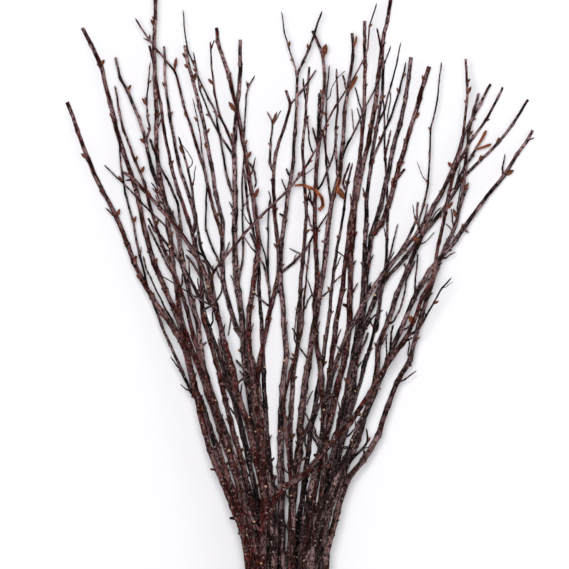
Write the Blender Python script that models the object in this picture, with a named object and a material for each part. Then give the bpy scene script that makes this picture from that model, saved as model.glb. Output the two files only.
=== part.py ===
"""A bunch of cut birch branches, lying on a table with its cut ends together.

Lengths are read in millimetres off a front view of the bunch and turned into metres once.
X runs across the bunch, Y from the cut ends to the tips, and Z up from the table.
Each branch is rigid: a stem, its side branches and its spurs. The branches are laid one
after another, and each settles on the table and on those already there.
"""

import math

import bmesh
import bpy
import numpy as np
from mathutils import Vector

# Driving dimensions, in metres
MM = 0.001
MIDDLE_X = 0.00715  # the middle of the whole bunch, in the traced view
MIDDLE_Y = 0.1645
CLEARANCE = 0.0007  # air between two branches that rest on each other
FORK_GAP = 0.0004  # air between a side branch's foot and its stem
SIDES = 5  # flat faces round a branch
SPUR_SIDES = 4
SAMPLE_STEP = 0.0015  # distance between the places where branches are tested for touching

# How far a branch may tip while it settles, as rise over run
TIP_ALONG = 0.16
TIP_ACROSS = 0.40
SETTLE_STEPS = 26

# Bark colours: red shoots, dark stems, grey bark and brown wood
BARK = {
    "red": (0.160, 0.035, 0.030),
    "dark": (0.030, 0.018, 0.020),
    "grey": (0.130, 0.095, 0.090),
    "brown": (0.120, 0.060, 0.040),
}

# Stems, from the back of the bunch to the front, in the order in which they are laid.
# Each has its name, bark, radius at the cut end and at the tip, and its route in mm.
STEMS = (
    ("low_left_stem", "dark", 2.4, 0.8, (
        (-15, -53), (-16.5, 0), (-24, 45), (-32, 80), (-40, 110), (-48, 135), (-55, 155),
        (-63, 178), (-72, 195), (-80, 207), (-88, 217), (-93, 222), (-97, 230))),
    ("low_right_stem", "dark", 2.4, 0.8, (
        (17, -57), (18.5, 0), (24, 30), (31, 60), (36, 90), (40, 110), (46, 140), (55, 168),
        (64, 190), (75, 206), (83.5, 222), (86.5, 229), (87.5, 241))),
    ("core_stem", "dark", 2.6, 0.7, (
        (-9, -60), (-10, 0), (-14, 60), (-17, 100), (-19, 150), (-21, 180), (-22, 206),
        (-26, 224), (-28.5, 236), (-30, 250), (-32, 266))),
    ("back_stem", "dark", 2.4, 0.7, (
        (2, -59), (3, 0), (10, 50), (15, 90), (22, 130), (27, 165), (30, 195), (33.5, 216),
        (37, 236), (39, 253), (43, 268))),
    ("left_dark_stem", "dark", 2.1, 0.7, (
        (-16.5, -58), (-17.5, 0), (-22, 35), (-29, 70), (-36, 100), (-42, 125), (-47, 150),
        (-50, 170), (-54, 188), (-57, 200), (-61.5, 212), (-64.5, 232), (-67.5, 252),
        (-69.5, 263), (-73, 275), (-76.5, 286))),
    ("middle_brown_stem", "brown", 2.2, 0.8, (
        (1, -52), (1.5, 0), (1, 40), (0, 80), (2, 120), (6, 150), (7, 180), (8.5, 200),
        (10.5, 220), (11, 240), (9.3, 260), (8.7, 279), (10.3, 297), (12, 317), (13, 333.5))),
    ("right_wand", "dark", 1.8, 0.6, (
        (21, -50), (22, 0), (29, 45), (37, 80), (44, 105), (50, 125), (58, 155), (62.5, 180),
        (65.5, 200), (66.8, 230), (66.5, 248), (65, 270), (64.7, 290), (64, 312))),
    ("left_inner_stem", "red", 2.3, 0.8, (
        (-18, -52), (-19, 0), (-25, 32), (-33, 64), (-41, 92), (-47, 118), (-54, 145),
        (-59, 160), (-60.5, 180), (-61, 196), (-65, 212), (-69.5, 229), (-76, 247),
        (-81.5, 267), (-86, 290), (-88.5, 308), (-92, 328), (-96, 348))),
    ("tall_red_stem", "red", 2.3, 1.1, (
        (10, -54), (11, 0), (15, 30), (22, 75), (24.5, 100), (27.5, 125), (31, 155),
        (35.5, 180), (38, 200), (41, 225), (45, 255), (48.5, 278), (50.8, 305), (51.3, 335),
        (51, 365))),
    ("right_dark_stem", "dark", 2.6, 0.9, (
        (13.5, -56), (14.5, 0), (22, 35), (29, 65), (34.5, 92), (40, 118), (43.5, 138),
        (47, 158), (50, 178), (50.5, 198), (51.7, 220), (52.5, 244), (55.3, 267),
        (58.8, 290), (62.7, 312), (63.7, 334), (63.5, 350))),
    ("left_centre_stem", "grey", 2.2, 1.1, (
        (-8, -55), (-8.5, 0), (-12, 45), (-16, 75), (-21, 105), (-23, 125), (-29, 142),
        (-36, 154), (-41.5, 170), (-45.5, 187), (-46.3, 204), (-46, 226), (-50.5, 246),
        (-54, 267), (-57.8, 288), (-61.5, 306), (-66.5, 324), (-70.5, 340), (-72, 348))),
    ("red_centre_stem", "red", 2.5, 0.9, (
        (-14, -60), (-14.5, 0), (-16.5, 55), (-20, 85), (-24, 110), (-20, 135), (-15, 160),
        (-10, 182), (-7.5, 195), (-8.2, 210), (-10.6, 235), (-11.4, 255), (-10, 274),
        (-4, 291.5), (0, 308), (-2.5, 317.5))),
    ("budded_stem", "red", 2.4, 1.0, (
        (7.5, -58), (8.5, 0), (13.5, 30), (20, 65), (23, 91), (21.5, 121), (17.5, 151),
        (17, 171), (18.5, 191), (17, 221), (17.3, 251), (19.5, 281), (21.2, 301),
        (23.8, 328), (21.5, 343), (15.5, 357.5))),
    ("left_top_stem", "red", 2.4, 1.2, (
        (-20.5, -54), (-22, 0), (-29, 28), (-39.5, 62), (-48, 86), (-56, 110), (-64, 133),
        (-71, 150), (-75, 164), (-77, 180), (-80, 199), (-82, 218), (-84.5, 238),
        (-88.5, 256), (-91, 275), (-91, 300), (-92, 325), (-92.5, 345), (-92, 365),
        (-90.5, 391))),
    ("grey_centre_stem", "grey", 3.2, 1.2, (
        (-13, -56), (-13.5, 0), (-16, 35), (-20, 66), (-25, 94), (-29, 118), (-31.5, 140),
        (-32.5, 160), (-35.5, 180), (-37.5, 200), (-37.7, 222), (-37.3, 248), (-38.2, 272),
        (-37, 298), (-35, 315), (-34, 335), (-34, 352))),
    ("black_stem", "dark", 2.6, 1.3, (
        (19, -58), (20.5, 0), (27.5, 38), (32.5, 65), (38, 90), (43, 115), (45.5, 137),
        (48.5, 157), (51.5, 177), (52.5, 197), (55.5, 217), (61.5, 237), (66.3, 257),
        (70.3, 277), (75, 294), (79.3, 313), (81, 326), (83, 340))),
    ("tall_right_stem", "red", 2.8, 1.2, (
        (6, -62), (6.5, 0), (12, 30), (20, 62), (27, 90), (32.5, 115), (38, 137),
        (40.5, 157), (41, 177), (41.3, 196), (42.7, 218), (45, 243), (49, 263),
        (53.8, 283), (57.8, 305), (60.5, 327), (63, 349), (66.5, 365), (70, 388))),
    ("middle_grey_stem", "grey", 2.9, 0.7, (
        (-5, -57), (-5.5, 0), (-6, 40), (-6.5, 80), (-5, 115), (-2.5, 137), (-4, 157),
        (-5.5, 177), (-7, 197), (-4, 227), (-1, 248), (2.2, 268), (3.3, 288), (4.8, 308),
        (5, 328), (8.8, 336), (13, 345), (17, 357), (22, 371))),
    ("right_slanting_stem", "grey", 2.3, 0.8, (
        (5, -57), (5.5, 0), (14, 45), (22.5, 82), (25.5, 106), (30, 128), (39, 150),
        (50, 171.5), (62.5, 191), (77, 208), (88, 221), (98, 239), (110, 258), (117, 271),
        (125, 285), (134, 297), (142.5, 313), (145.3, 319.5))),
    ("right_fine_stem", "dark", 2.1, 0.9, (
        (15, -53), (15.5, 0), (22, 36), (28, 64), (35, 92), (41, 117), (45, 136), (50, 154),
        (56, 170), (66, 189), (78.5, 203), (90, 218), (101, 231), (110, 244), (118, 257),
        (130, 269.5), (142.5, 281.5), (152, 294), (163, 311))),
    ("peeling_stem", "brown", 3.1, 1.0, (
        (0.5, -60), (0.5, 0), (2, 40), (6, 70), (8, 100), (12, 128), (15.5, 150),
        (19, 172), (22, 190), (24.5, 206), (26, 226), (29.5, 245), (34, 262), (36, 281),
        (37.3, 302), (40, 321), (43, 340), (42.3, 356))),
    ("right_main_stem", "brown", 2.8, 0.9, (
        (16, -60), (17, 0), (26, 30), (36, 55), (46, 79), (53, 101), (59, 122), (60, 142),
        (67, 160), (73, 178), (80, 195), (88, 213), (92, 225), (103, 246), (112, 266),
        (118, 285), (124, 297), (129.5, 307.5), (137, 321.5))),
    ("left_grey_stem", "grey", 3.0, 0.9, (
        (-20.5, -60), (-21.5, 0), (-27, 24), (-35, 55), (-43, 80), (-51, 103), (-57, 121),
        (-61, 139), (-62.5, 158), (-67, 172), (-70, 187), (-74, 200), (-75.5, 217),
        (-81, 232), (-88, 247), (-94, 263), (-98.5, 283), (-103, 298), (-111, 316.5),
        (-115.5, 325), (-119, 339.5))),
    ("left_red_stem", "red", 2.3, 0.7, (
        (-22, -57), (-23, 0), (-29, 26), (-38, 60), (-46, 86), (-54, 110), (-60, 130),
        (-65.5, 149), (-70.5, 168), (-77.5, 189), (-83, 202), (-90.5, 221), (-95.5, 239),
        (-99.5, 254), (-105.5, 269), (-113.5, 290), (-116.5, 303), (-119.5, 320.5))),
    ("outer_right_stem", "brown", 2.5, 0.9, (
        (23, -55), (24.5, 0), (32, 30), (39.5, 53), (50, 65), (60, 82), (66.5, 102),
        (73, 118), (81.5, 133), (89, 162), (94.5, 178), (100, 195), (106.5, 211),
        (112.5, 224), (117.3, 243), (119.8, 265), (121.8, 287), (125.5, 303), (128.6, 315))),
    ("left_tall_stem", "red", 2.5, 1.3, (
        (-24.5, -55), (-26, 0), (-33, 28), (-44, 58), (-55, 88), (-62.5, 108), (-65.5, 118),
        (-70, 138), (-73, 150), (-77, 164), (-85, 181), (-92.5, 199), (-98.5, 219),
        (-103, 241), (-108, 259), (-114.5, 277), (-120, 297), (-123, 309), (-129.3, 334),
        (-136, 349), (-142, 360))),
    ("far_right_stem", "grey", 2.7, 1.1, (
        (12, -60), (13, 0), (17, 16), (27, 43), (38, 66), (48, 90), (58, 112), (67, 134),
        (75, 153), (84, 174), (89, 184), (95, 194), (102, 202), (113, 215), (118.5, 223),
        (130, 239), (146, 259), (155, 273), (162, 283), (166, 290))),
    ("pink_stem", "red", 2.5, 1.2, (
        (-10.5, -58), (-11, 0), (-15.5, 40), (-19, 72), (-23, 100), (-26, 126), (-28.5, 148),
        (-27.5, 168), (-24.5, 188), (-21.3, 214), (-24, 236), (-28, 258), (-31.5, 280),
        (-36, 303), (-41.5, 326), (-49, 350), (-50.5, 360))),
    ("slim_red_stem", "red", 1.5, 0.6, (
        (0, -50), (0.5, 20), (0, 55), (-2.5, 85), (-4, 105), (0, 125), (5, 140), (9, 158),
        (9.5, 175), (12, 196), (13.5, 214))),
    ("broken_stem", "brown", 1.9, 1.2, (
        (2, -56), (2, 10), (3, 60), (9, 81), (18, 99), (23, 106), (31, 110.5))),
    ("short_cut_stem", "brown", 2.1, 1.8, (
        (14, -57), (15, 0), (20, 35), (23.5, 60), (23.5, 77))),
    ("forked_cut_stem", "grey", 2.0, 1.6, (
        (-12, -55), (-12, 10), (-12.5, 30), (-13, 45), (-15.5, 62))),
    ("outer_left_stem", "dark", 1.7, 0.6, (
        (-24, -60), (-28.5, 0), (-33, 18), (-39.5, 38), (-47, 58), (-52, 78), (-57, 97),
        (-67.5, 112), (-73.4, 125.6), (-81.8, 143.6), (-87.8, 158), (-96.5, 181),
        (-102.5, 205), (-107.6, 229), (-112.2, 246.8), (-114.6, 260), (-116.6, 283))),
    ("far_left_stem", "red", 2.3, 1.3, (
        (-27, -58), (-29.5, 5), (-33.5, 20), (-39, 34), (-45.5, 50), (-54.5, 72),
        (-61.5, 99), (-66, 118), (-69.5, 132), (-72.5, 143), (-77.6, 152), (-86, 164),
        (-93.8, 176), (-101, 188), (-106.2, 200), (-111, 212), (-118.2, 230.6),
        (-127.8, 248), (-138, 270.2), (-145.2, 290), (-152.2, 309.2))),
    ("forked_red_stem", "red", 3.1, 1.0, (
        (-19, -60), (-19, 0), (-18, 24), (-17, 34), (-18, 44), (-23, 66), (-28, 88),
        (-35, 108), (-39, 127), (-44, 144), (-49, 162), (-54.5, 178), (-56, 187),
        (-59.5, 196), (-64.5, 205), (-76, 222), (-88, 236), (-100, 249.5), (-106, 256),
        (-113, 261))),
)

# Side branches: name, parent, bark, radius at the foot and at the tip, rise over run away
# from the parent's plane, and the route from the fork in mm.
SIDE_BRANCHES = (
    ("red_diagonal", "forked_red_stem", "red", 2.1, 0.8, 0.05, (
        (-18, 24), (-13, 31), (-10, 40), (-3, 48), (5, 52.5), (13, 60), (28, 77), (41, 91), (54, 111),
        (66, 131), (79, 149), (84, 160), (90, 176), (97, 190), (101, 213), (105.5, 233),
        (108, 248), (113, 265), (117.5, 285), (120, 308), (120.5, 322), (119.3, 338))),
    ("fine_diagonal", "forked_red_stem", "red", 1.0, 0.5, 0.10, (
        (-56, 187), (-46, 201), (-31, 219), (-18, 233), (-4, 246), (6, 258), (13, 268),
        (19, 279), (24, 292), (31, 306), (43, 324), (53, 345), (54, 360), (59, 376))),
    ("right_spike", "red_diagonal", "dark", 0.9, 0.5, 0.10, (
        (79, 149), (87, 154), (92, 163), (97.5, 172), (103, 182), (109.5, 189.5))),
    ("left_grey_twig", "left_grey_stem", "grey", 0.8, 0.5, 0.12, (
        (-98.5, 283), (-95.7, 290), (-96.8, 299), (-97.6, 310), (-96.5, 322), (-94.8, 336))),
    ("left_inner_twig", "left_inner_stem", "grey", 1.3, 0.8, 0.10, (
        (-67, 220), (-64.5, 227.5), (-67.5, 241), (-73.5, 258), (-76.5, 270), (-79, 282), (-82, 300),
        (-85, 320), (-85.3, 335), (-86, 347))),
    ("grey_long_twig", "grey_centre_stem", "dark", 0.9, 0.4, 0.05, (
        (-37.4, 240), (-42, 254), (-45.7, 273), (-49, 292), (-50.7, 302), (-55.5, 311),
        (-64, 330), (-69.5, 344), (-72.3, 362), (-73, 372))),
    ("grey_mid_twig", "grey_centre_stem", "dark", 0.8, 0.4, -0.12, (
        (-38.2, 272), (-43, 279), (-47.5, 286), (-54.8, 300), (-61.5, 318), (-64.7, 336),
        (-66.2, 344))),
    ("grey_top_twig", "grey_centre_stem", "red", 0.9, 0.5, -0.08, (
        (-38, 278), (-43, 289), (-47.5, 299), (-51.7, 316), (-53.6, 336), (-54.6, 351))),
    ("grey_inner_twig", "grey_centre_stem", "dark", 0.8, 0.5, 0.06, (
        (-36, 184), (-32.6, 198), (-32, 214), (-32.5, 238), (-32.6, 254), (-31.4, 272),
        (-31.2, 290), (-29.6, 314), (-28, 320), (-24, 327.5))),
    ("angled_branch", "left_centre_stem", "red", 1.2, 0.6, 0.05, (
        (-46, 218), (-50.8, 231), (-55.4, 249), (-60, 268), (-64, 280), (-68, 293),
        (-73, 309), (-78.8, 330.5), (-90, 343.5), (-96, 351.5), (-105.5, 366))),
    ("pale_twig", "left_centre_stem", "grey", 0.8, 0.4, 0.17, (
        (-46, 192), (-49, 201), (-52.5, 209), (-57.5, 222), (-57, 240), (-57, 258),
        (-60, 276), (-62.7, 296), (-66.3, 311.7))),
    ("centre_fork", "red_centre_stem", "brown", 0.9, 0.5, 0.10, (
        (-11, 262), (-13.9, 267.5), (-13.2, 280), (-12.2, 296), (-16, 303))),
    ("beige_diagonal", "red_centre_stem", "brown", 1.0, 0.6, 0.12, (
        (-8, 191), (3, 200), (10, 208), (18, 221), (27, 235))),
    ("centre_dark_twig", "red_centre_stem", "dark", 0.8, 0.5, 0.10, (
        (-13, 168), (-14.8, 184), (-15, 200), (-15, 222), (-14, 243))),
    ("middle_top_twig", "middle_grey_stem", "grey", 0.7, 0.4, 0.15, (
        (5, 326), (2, 337), (-1, 347), (-4, 357), (-5.8, 371))),
    ("pale_peeling_twig", "peeling_stem", "grey", 1.0, 0.7, 0.15, (
        (33, 259), (31, 274), (31.3, 290), (32.5, 310), (31.5, 331.5))),
    ("dark_crossing_twig", "peeling_stem", "dark", 0.8, 0.5, 0.12, (
        (35, 270), (40, 282), (45, 291), (50, 302), (55, 312.5), (61, 324.5))),
    ("inner_peeling_twig", "peeling_stem", "dark", 0.9, 0.5, -0.10, (
        (28.5, 240), (25.8, 256), (24.6, 268), (24.3, 284), (24.7, 300), (25.3, 320),
        (27, 334.5))),
    ("right_dark_twig", "right_dark_stem", "dark", 0.9, 0.6, 0.08, (
        (55.6, 269), (62, 283), (68.3, 298), (74.5, 316), (77, 327), (79, 336.5))),
    ("right_upper_twig", "right_dark_stem", "dark", 0.8, 0.4, -0.08, (
        (59.5, 294), (64.5, 304), (69, 321), (73.5, 338), (76, 350.5))),
    ("black_side_branch", "black_stem", "red", 1.7, 1.4, 0.08, (
        (56, 219), (62.5, 225.7), (67, 238), (71, 252), (75, 267), (82, 290), (88.5, 312),
        (92, 324), (95, 333.5))),
    ("right_hair_twig", "right_main_stem", "dark", 0.8, 0.5, 0.12, (
        (90, 219), (87.7, 225.5), (90.8, 238), (94.3, 254), (95.2, 274), (96, 290), (100.3, 310),
        (103, 336.5))),
    ("catkin_twig", "right_fine_stem", "dark", 1.0, 0.8, 0.15, (
        (113.5, 250), (114.8, 257), (119, 264), (124, 272), (128, 279.5))),
    ("crossed_twig", "outer_right_stem", "dark", 1.1, 0.7, -0.15, (
        (38.5, 50), (37.6, 58), (43, 67), (49.5, 73), (53, 78), (52, 87))),
)

# Spurs, stubs, buds and catkins fused to what they grow from: owner, radius at the foot
# and at the end, where it starts on the owner's axis and where it ends, in mm.
SPURS = (
    ("left_tall_stem", 0.7, 0.5, (-120, 297), (-123, 301.5)),
    ("left_tall_stem", 0.9, 0.6, (-129.3, 334), (-127, 338)),
    ("left_red_stem", 0.9, 0.5, (-101.8, 260), (-99.4, 265)),
    ("left_grey_stem", 0.8, 0.5, (-111, 316.5), (-108.5, 320.5)),
    ("left_grey_stem", 0.7, 0.5, (-98, 280), (-102.2, 284)),
    ("left_grey_stem", 1.3, 1.1, (-61, 139), (-65, 143)),
    ("left_grey_twig", 0.45, 0.35, (-97.4, 306), (-100.6, 311.5)),
    ("left_top_stem", 0.8, 0.4, (-92, 360), (-94.6, 365)),
    ("left_top_stem", 0.6, 0.4, (-91, 289), (-86.5, 301)),
    ("left_dark_stem", 0.8, 0.5, (-72.5, 273), (-75.5, 279)),
    ("outer_left_stem", 0.8, 0.5, (-107, 226), (-105, 231)),
    ("outer_left_stem", 0.7, 0.4, (-113.6, 254), (-117, 258.5)),
    ("far_left_stem", 0.9, 0.5, (-138, 270.2), (-142.5, 274)),
    ("far_left_stem", 0.9, 0.5, (-118.2, 230.6), (-116.2, 236)),
    ("far_left_stem", 0.9, 0.6, (-101, 188), (-104.6, 191)),
    ("far_left_stem", 0.9, 0.6, (-72.5, 143), (-76.6, 146)),
    ("low_left_stem", 0.9, 0.5, (-93, 222), (-90, 229)),
    ("forked_red_stem", 0.8, 0.6, (-106, 256), (-112.5, 255.5)),
    ("forked_red_stem", 0.8, 0.5, (-94, 243), (-97.5, 249)),
    ("forked_red_stem", 1.5, 1.2, (-18.4, 16), (-23.6, 22)),
    ("red_diagonal", 0.9, 0.5, (105.8, 235), (110.5, 240.5)),
    ("red_diagonal", 0.9, 0.6, (83, 157), (80.6, 163.5)),
    ("red_diagonal", 0.8, 0.5, (120.2, 313), (123, 319)),
    ("grey_centre_stem", 1.1, 0.6, (-36.8, 302), (-41.5, 309)),
    ("grey_top_twig", 0.5, 0.4, (-52.3, 321), (-55.7, 325)),
    ("grey_top_twig", 0.5, 0.4, (-54.2, 345), (-51.5, 352)),
    ("grey_inner_twig", 0.5, 0.4, (-28.6, 317), (-30.2, 324)),
    ("pink_stem", 0.9, 0.5, (-30, 270), (-26.5, 275)),
    ("pink_stem", 1.0, 0.4, (-25, 242), (-21.5, 250)),
    ("pink_stem", 0.6, 0.4, (-38, 311), (-40.6, 330)),
    ("left_centre_stem", 0.9, 0.4, (-66.2, 323), (-64.6, 329)),
    ("left_centre_stem", 0.8, 0.5, (-68.5, 332), (-72, 335)),
    ("left_centre_stem", 0.8, 0.4, (-55.5, 276), (-58.3, 281)),
    ("angled_branch", 0.9, 0.4, (-78.8, 330.5), (-77.6, 339)),
    ("angled_branch", 0.8, 0.4, (-69.6, 298), (-71.9, 302)),
    ("angled_branch", 0.6, 0.4, (-95, 350), (-100, 352.5)),
    ("red_centre_stem", 0.7, 0.6, (-0.2, 307), (9, 318)),
    ("centre_fork", 0.5, 0.4, (-12.4, 293), (-9.2, 302)),
    ("middle_brown_stem", 0.7, 0.6, (11.1, 308), (8.8, 326)),
    ("budded_stem", 1.6, 1.0, (22.3, 339), (24.5, 348)),
    ("budded_stem", 0.8, 0.7, (19.3, 277), (15.5, 292)),
    ("budded_stem", 1.1, 0.8, (17.1, 238), (10, 246)),
    ("peeling_stem", 1.6, 1.0, (31.6, 252), (37, 243)),
    ("peeling_stem", 0.8, 0.6, (39, 315), (46, 327)),
    ("peeling_stem", 0.7, 0.5, (42.8, 345), (45.5, 354)),
    ("tall_right_stem", 0.8, 0.5, (62.4, 344), (59.5, 360)),
    ("tall_red_stem", 0.6, 0.4, (49.5, 290), (46, 306)),
    ("right_dark_stem", 0.6, 0.4, (63.7, 334), (69, 348)),
    ("black_side_branch", 1.0, 0.6, (84.2, 297), (88.2, 302)),
    ("black_side_branch", 1.0, 0.8, (72, 256), (78.5, 263.5)),
    ("black_stem", 1.1, 0.9, (53.8, 206), (50.3, 213)),
    ("right_main_stem", 1.4, 0.9, (88, 213), (84.5, 217)),
    ("right_main_stem", 0.9, 0.6, (111, 264), (108, 268)),
    ("far_right_stem", 1.2, 0.7, (146, 259), (152.5, 262.5)),
    ("far_right_stem", 0.8, 0.6, (118.5, 223), (121.5, 220)),
    ("far_right_stem", 0.6, 0.4, (162, 283), (167.5, 285)),
    ("right_fine_stem", 0.7, 0.5, (141, 280), (143, 285)),
    ("outer_right_stem", 0.8, 0.5, (118, 247), (121.8, 254)),
    ("outer_right_stem", 0.8, 0.5, (114, 229), (111.5, 236)),
    ("catkin_twig", 0.7, 0.9, (127.2, 278), (134, 290)),
    ("catkin_twig", 0.65, 0.8, (126.4, 276.5), (137.5, 280.5)),
    ("forked_cut_stem", 1.5, 1.3, (-13, 46), (-10, 55)),
    ("short_cut_stem", 1.3, 1.1, (23.3, 58), (27, 65)),
)


def clear_scene():
    """Remove whatever the file holds, so that a second run starts clean."""
    for thing in list(bpy.data.objects):
        bpy.data.objects.remove(thing, do_unlink=True)


def flat(route):
    """A traced route as points in metres round the middle of the bunch."""
    return np.array(route, float) * MM - (MIDDLE_X, MIDDLE_Y)


def distance_along(points):
    """How far each point of a route lies from its start."""
    legs = np.linalg.norm(np.diff(points, axis=0), axis=1)
    return np.concatenate(([0.0], np.cumsum(legs)))


def taper(points, foot_radius, tip_radius):
    """The radius at each point of a route that thins evenly."""
    share = distance_along(points)
    share = share / share[-1]
    return (foot_radius + (tip_radius - foot_radius) * share) * MM


class Limb:
    """A stem, a side branch or a spur: a tapering round rod along a traced route."""

    def __init__(self, route, foot_radius, tip_radius, rise=0.0, start_lift=0.0):
        self.points = flat(route)
        self.radii = taper(self.points, foot_radius, tip_radius)
        self.lift = start_lift + rise * distance_along(self.points)

    def samples(self):
        """Points on the axis, closely spaced, as rows of x, y, lift and radius."""
        corners = np.column_stack((self.points, self.lift, self.radii))
        along = distance_along(self.points)
        count = max(2, math.ceil(along[-1] / SAMPLE_STEP) + 1)
        places = np.linspace(0.0, along[-1], count)
        return np.column_stack([np.interp(places, along, column) for column in corners.T])

    def lift_near(self, x, y):
        """The lift of the axis point that is nearest to a place in the traced view."""
        rows = self.samples()
        nearest = np.argmin((rows[:, 0] - x) ** 2 + (rows[:, 1] - y) ** 2)
        return rows[nearest, 2]


def grow_branches():
    """Gather the limbs of each branch: a dictionary of limbs for each stem, in order."""
    branches = {}
    home = {}
    for name, _, foot, tip, route in STEMS:
        branches[name] = {name: Limb(route, foot, tip)}
        home[name] = name
    for name, parent, _, foot, tip, rise, route in SIDE_BRANCHES:
        branch = branches[home[parent]]
        home[name] = home[parent]
        fork = flat(route[:1])[0]
        branch[name] = Limb(route, foot, tip, rise, branch[parent].lift_near(*fork))
    spurs = {}
    for owner, foot, tip, start, end in SPURS:
        lift = branches[home[owner]][owner].lift_near(*flat((start,))[0])
        spurs.setdefault(owner, []).append(Limb((start, end), foot, tip, 0.0, lift))
    return branches, spurs


def least(cost, low, high):
    """The place between low and high where a cost with a single valley is least."""
    for _ in range(SETTLE_STEPS):
        third = (high - low) / 3.0
        if cost(low + third) < cost(high - third):
            high -= third
        else:
            low += third
    return (low + high) / 2.0


def needed_height(rows, laid):
    """The least height of each sample's axis over the table and the branches below."""
    need = rows[:, 3].copy()
    if laid is None:
        return need
    for index, (x, y, _, radius) in enumerate(rows):
        reach = laid[:, 3] + radius + CLEARANCE
        square = reach**2 - (laid[:, 0] - x) ** 2 - (laid[:, 1] - y) ** 2
        near = square > 0.0
        if near.any():
            over = laid[near, 2] + np.sqrt(square[near])
            need[index] = max(need[index], over.max())
    return need


def settle(rows, laid):
    """Lower a rigid branch until it rests: its height and its slopes along X and Y."""
    middle = rows[:, :2].mean(axis=0)
    run = rows[-1, :2] - rows[0, :2]
    run = run / np.linalg.norm(run)
    across = np.array((run[1], -run[0]))
    u = (rows[:, :2] - middle) @ run
    v = (rows[:, :2] - middle) @ across
    bare = needed_height(rows, laid) - rows[:, 2]

    def height(along_slope, across_slope):
        return np.max(bare - along_slope * u - across_slope * v)

    def best_across(along_slope):
        return least(lambda slope: height(along_slope, slope), -TIP_ACROSS, TIP_ACROSS)

    along_slope = least(lambda slope: height(slope, best_across(slope)), -TIP_ALONG, TIP_ALONG)
    across_slope = best_across(along_slope)
    slopes = along_slope * run + across_slope * across
    base = height(along_slope, across_slope) - slopes @ middle
    return base, slopes


def lay_branches(branches, spurs):
    """Lay every branch on the heap and write the height of each limb's points."""
    laid = None
    for branch in branches.values():
        limbs = list(branch.values())
        for name in branch:
            limbs.extend(spurs.get(name, ()))
        rows = np.vstack([limb.samples() for limb in limbs])
        base, slopes = settle(rows, laid)
        for limb in limbs:
            limb.heights = base + limb.points @ slopes + limb.lift
        rows[:, 2] += base + rows[:, :2] @ slopes
        laid = rows if laid is None else np.vstack((laid, rows))


def axis_points(limb):
    """The limb's axis as vectors in space."""
    return [Vector((x, y, z)) for (x, y), z in zip(limb.points, limb.heights)]


def direction_at(axis, index):
    """The direction of an axis at one of its points."""
    before = axis[max(index - 1, 0)]
    after = axis[min(index + 1, len(axis) - 1)]
    return (after - before).normalized()


def ring_at(centre, direction, radius, sides):
    """Corners of a cross-section square to the axis, with one corner at the bottom."""
    sideways = direction.cross(Vector((0.0, 0.0, 1.0))).normalized()
    upward = sideways.cross(direction).normalized()
    corners = []
    for step in range(sides):
        angle = -math.pi / 2.0 + 2.0 * math.pi * step / sides
        offset = math.cos(angle) * sideways + math.sin(angle) * upward
        corners.append(centre + radius * offset)
    return corners


def parent_axis_near(parent, place):
    """The parent's nearest axis point, its direction there and its radius."""
    axis = axis_points(parent)
    best = None
    for index in range(len(axis) - 1):
        leg = axis[index + 1] - axis[index]
        share = (place - axis[index]).dot(leg) / leg.length_squared
        share = min(1.0, max(0.0, share))
        point = axis[index] + share * leg
        gap = (place - point).length
        if best is None or gap < best[0]:
            radius = parent.radii[index] * (1.0 - share) + parent.radii[index + 1] * share
            best = (gap, point, leg.normalized(), radius)
    return best[1], best[2], float(best[3])


def foot_on_parent(axis, radius, sides, parent):
    """The foot of a side branch, cut to lie flat just off its parent's bark."""
    point, parent_direction, parent_radius = parent_axis_near(parent, axis[0])
    direction = (axis[1] - axis[0]).normalized()
    outward = direction - direction.dot(parent_direction) * parent_direction
    outward.normalize()
    stand_off = parent_radius + FORK_GAP
    corners = []
    for corner in ring_at(axis[0], direction, radius, sides):
        travel = (stand_off - (corner - point).dot(outward)) / direction.dot(outward)
        corners.append(corner + travel * direction)
    return corners


def rod_mesh(name, limb, sides, parent=None):
    """A closed rod, extruded ring by ring along the limb's axis."""
    axis = axis_points(limb)
    rings = []
    for index, centre in enumerate(axis):
        radius = float(limb.radii[index])
        rings.append(ring_at(centre, direction_at(axis, index), radius, sides))
    if parent is not None:
        rings[0] = foot_on_parent(axis, float(limb.radii[0]), sides, parent)
    shape = bmesh.new()
    corners = [shape.verts.new(corner) for corner in rings[0]]
    edges = [shape.edges.new((corners[i], corners[i - 1])) for i in range(sides)]
    shape.faces.new(corners)
    for ring in rings[1:]:
        grown = bmesh.ops.extrude_edge_only(shape, edges=edges)
        edges = [part for part in grown["geom"] if isinstance(part, bmesh.types.BMEdge)]
        new_corners = [part for part in grown["geom"] if isinstance(part, bmesh.types.BMVert)]
        for old, target in zip(corners, ring):
            follower = next(
                edge.other_vert(old) for edge in old.link_edges if edge.other_vert(old) in new_corners
            )
            follower.co = target
        corners = [
            next(edge.other_vert(old) for edge in old.link_edges if edge.other_vert(old) in new_corners)
            for old in corners
        ]
    shape.faces.new(corners)
    bmesh.ops.recalc_face_normals(shape, faces=shape.faces)
    mesh = bpy.data.meshes.new(name)
    shape.to_mesh(mesh)
    shape.free()
    return mesh


def bark_material(bark):
    """A plain bark colour."""
    material = bpy.data.materials.new(f"{bark}_bark")
    material.use_nodes = True
    shader = material.node_tree.nodes["Principled BSDF"]
    shader.inputs["Base Color"].default_value = (*BARK[bark], 1.0)
    shader.inputs["Roughness"].default_value = 0.6
    shader.inputs["Metallic"].default_value = 0.0
    return material


def add_object(name, mesh, bunch):
    """Put a mesh in the scene under the bunch's empty."""
    thing = bpy.data.objects.new(name, mesh)
    thing.parent = bunch
    bpy.context.scene.collection.objects.link(thing)
    return thing


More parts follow.
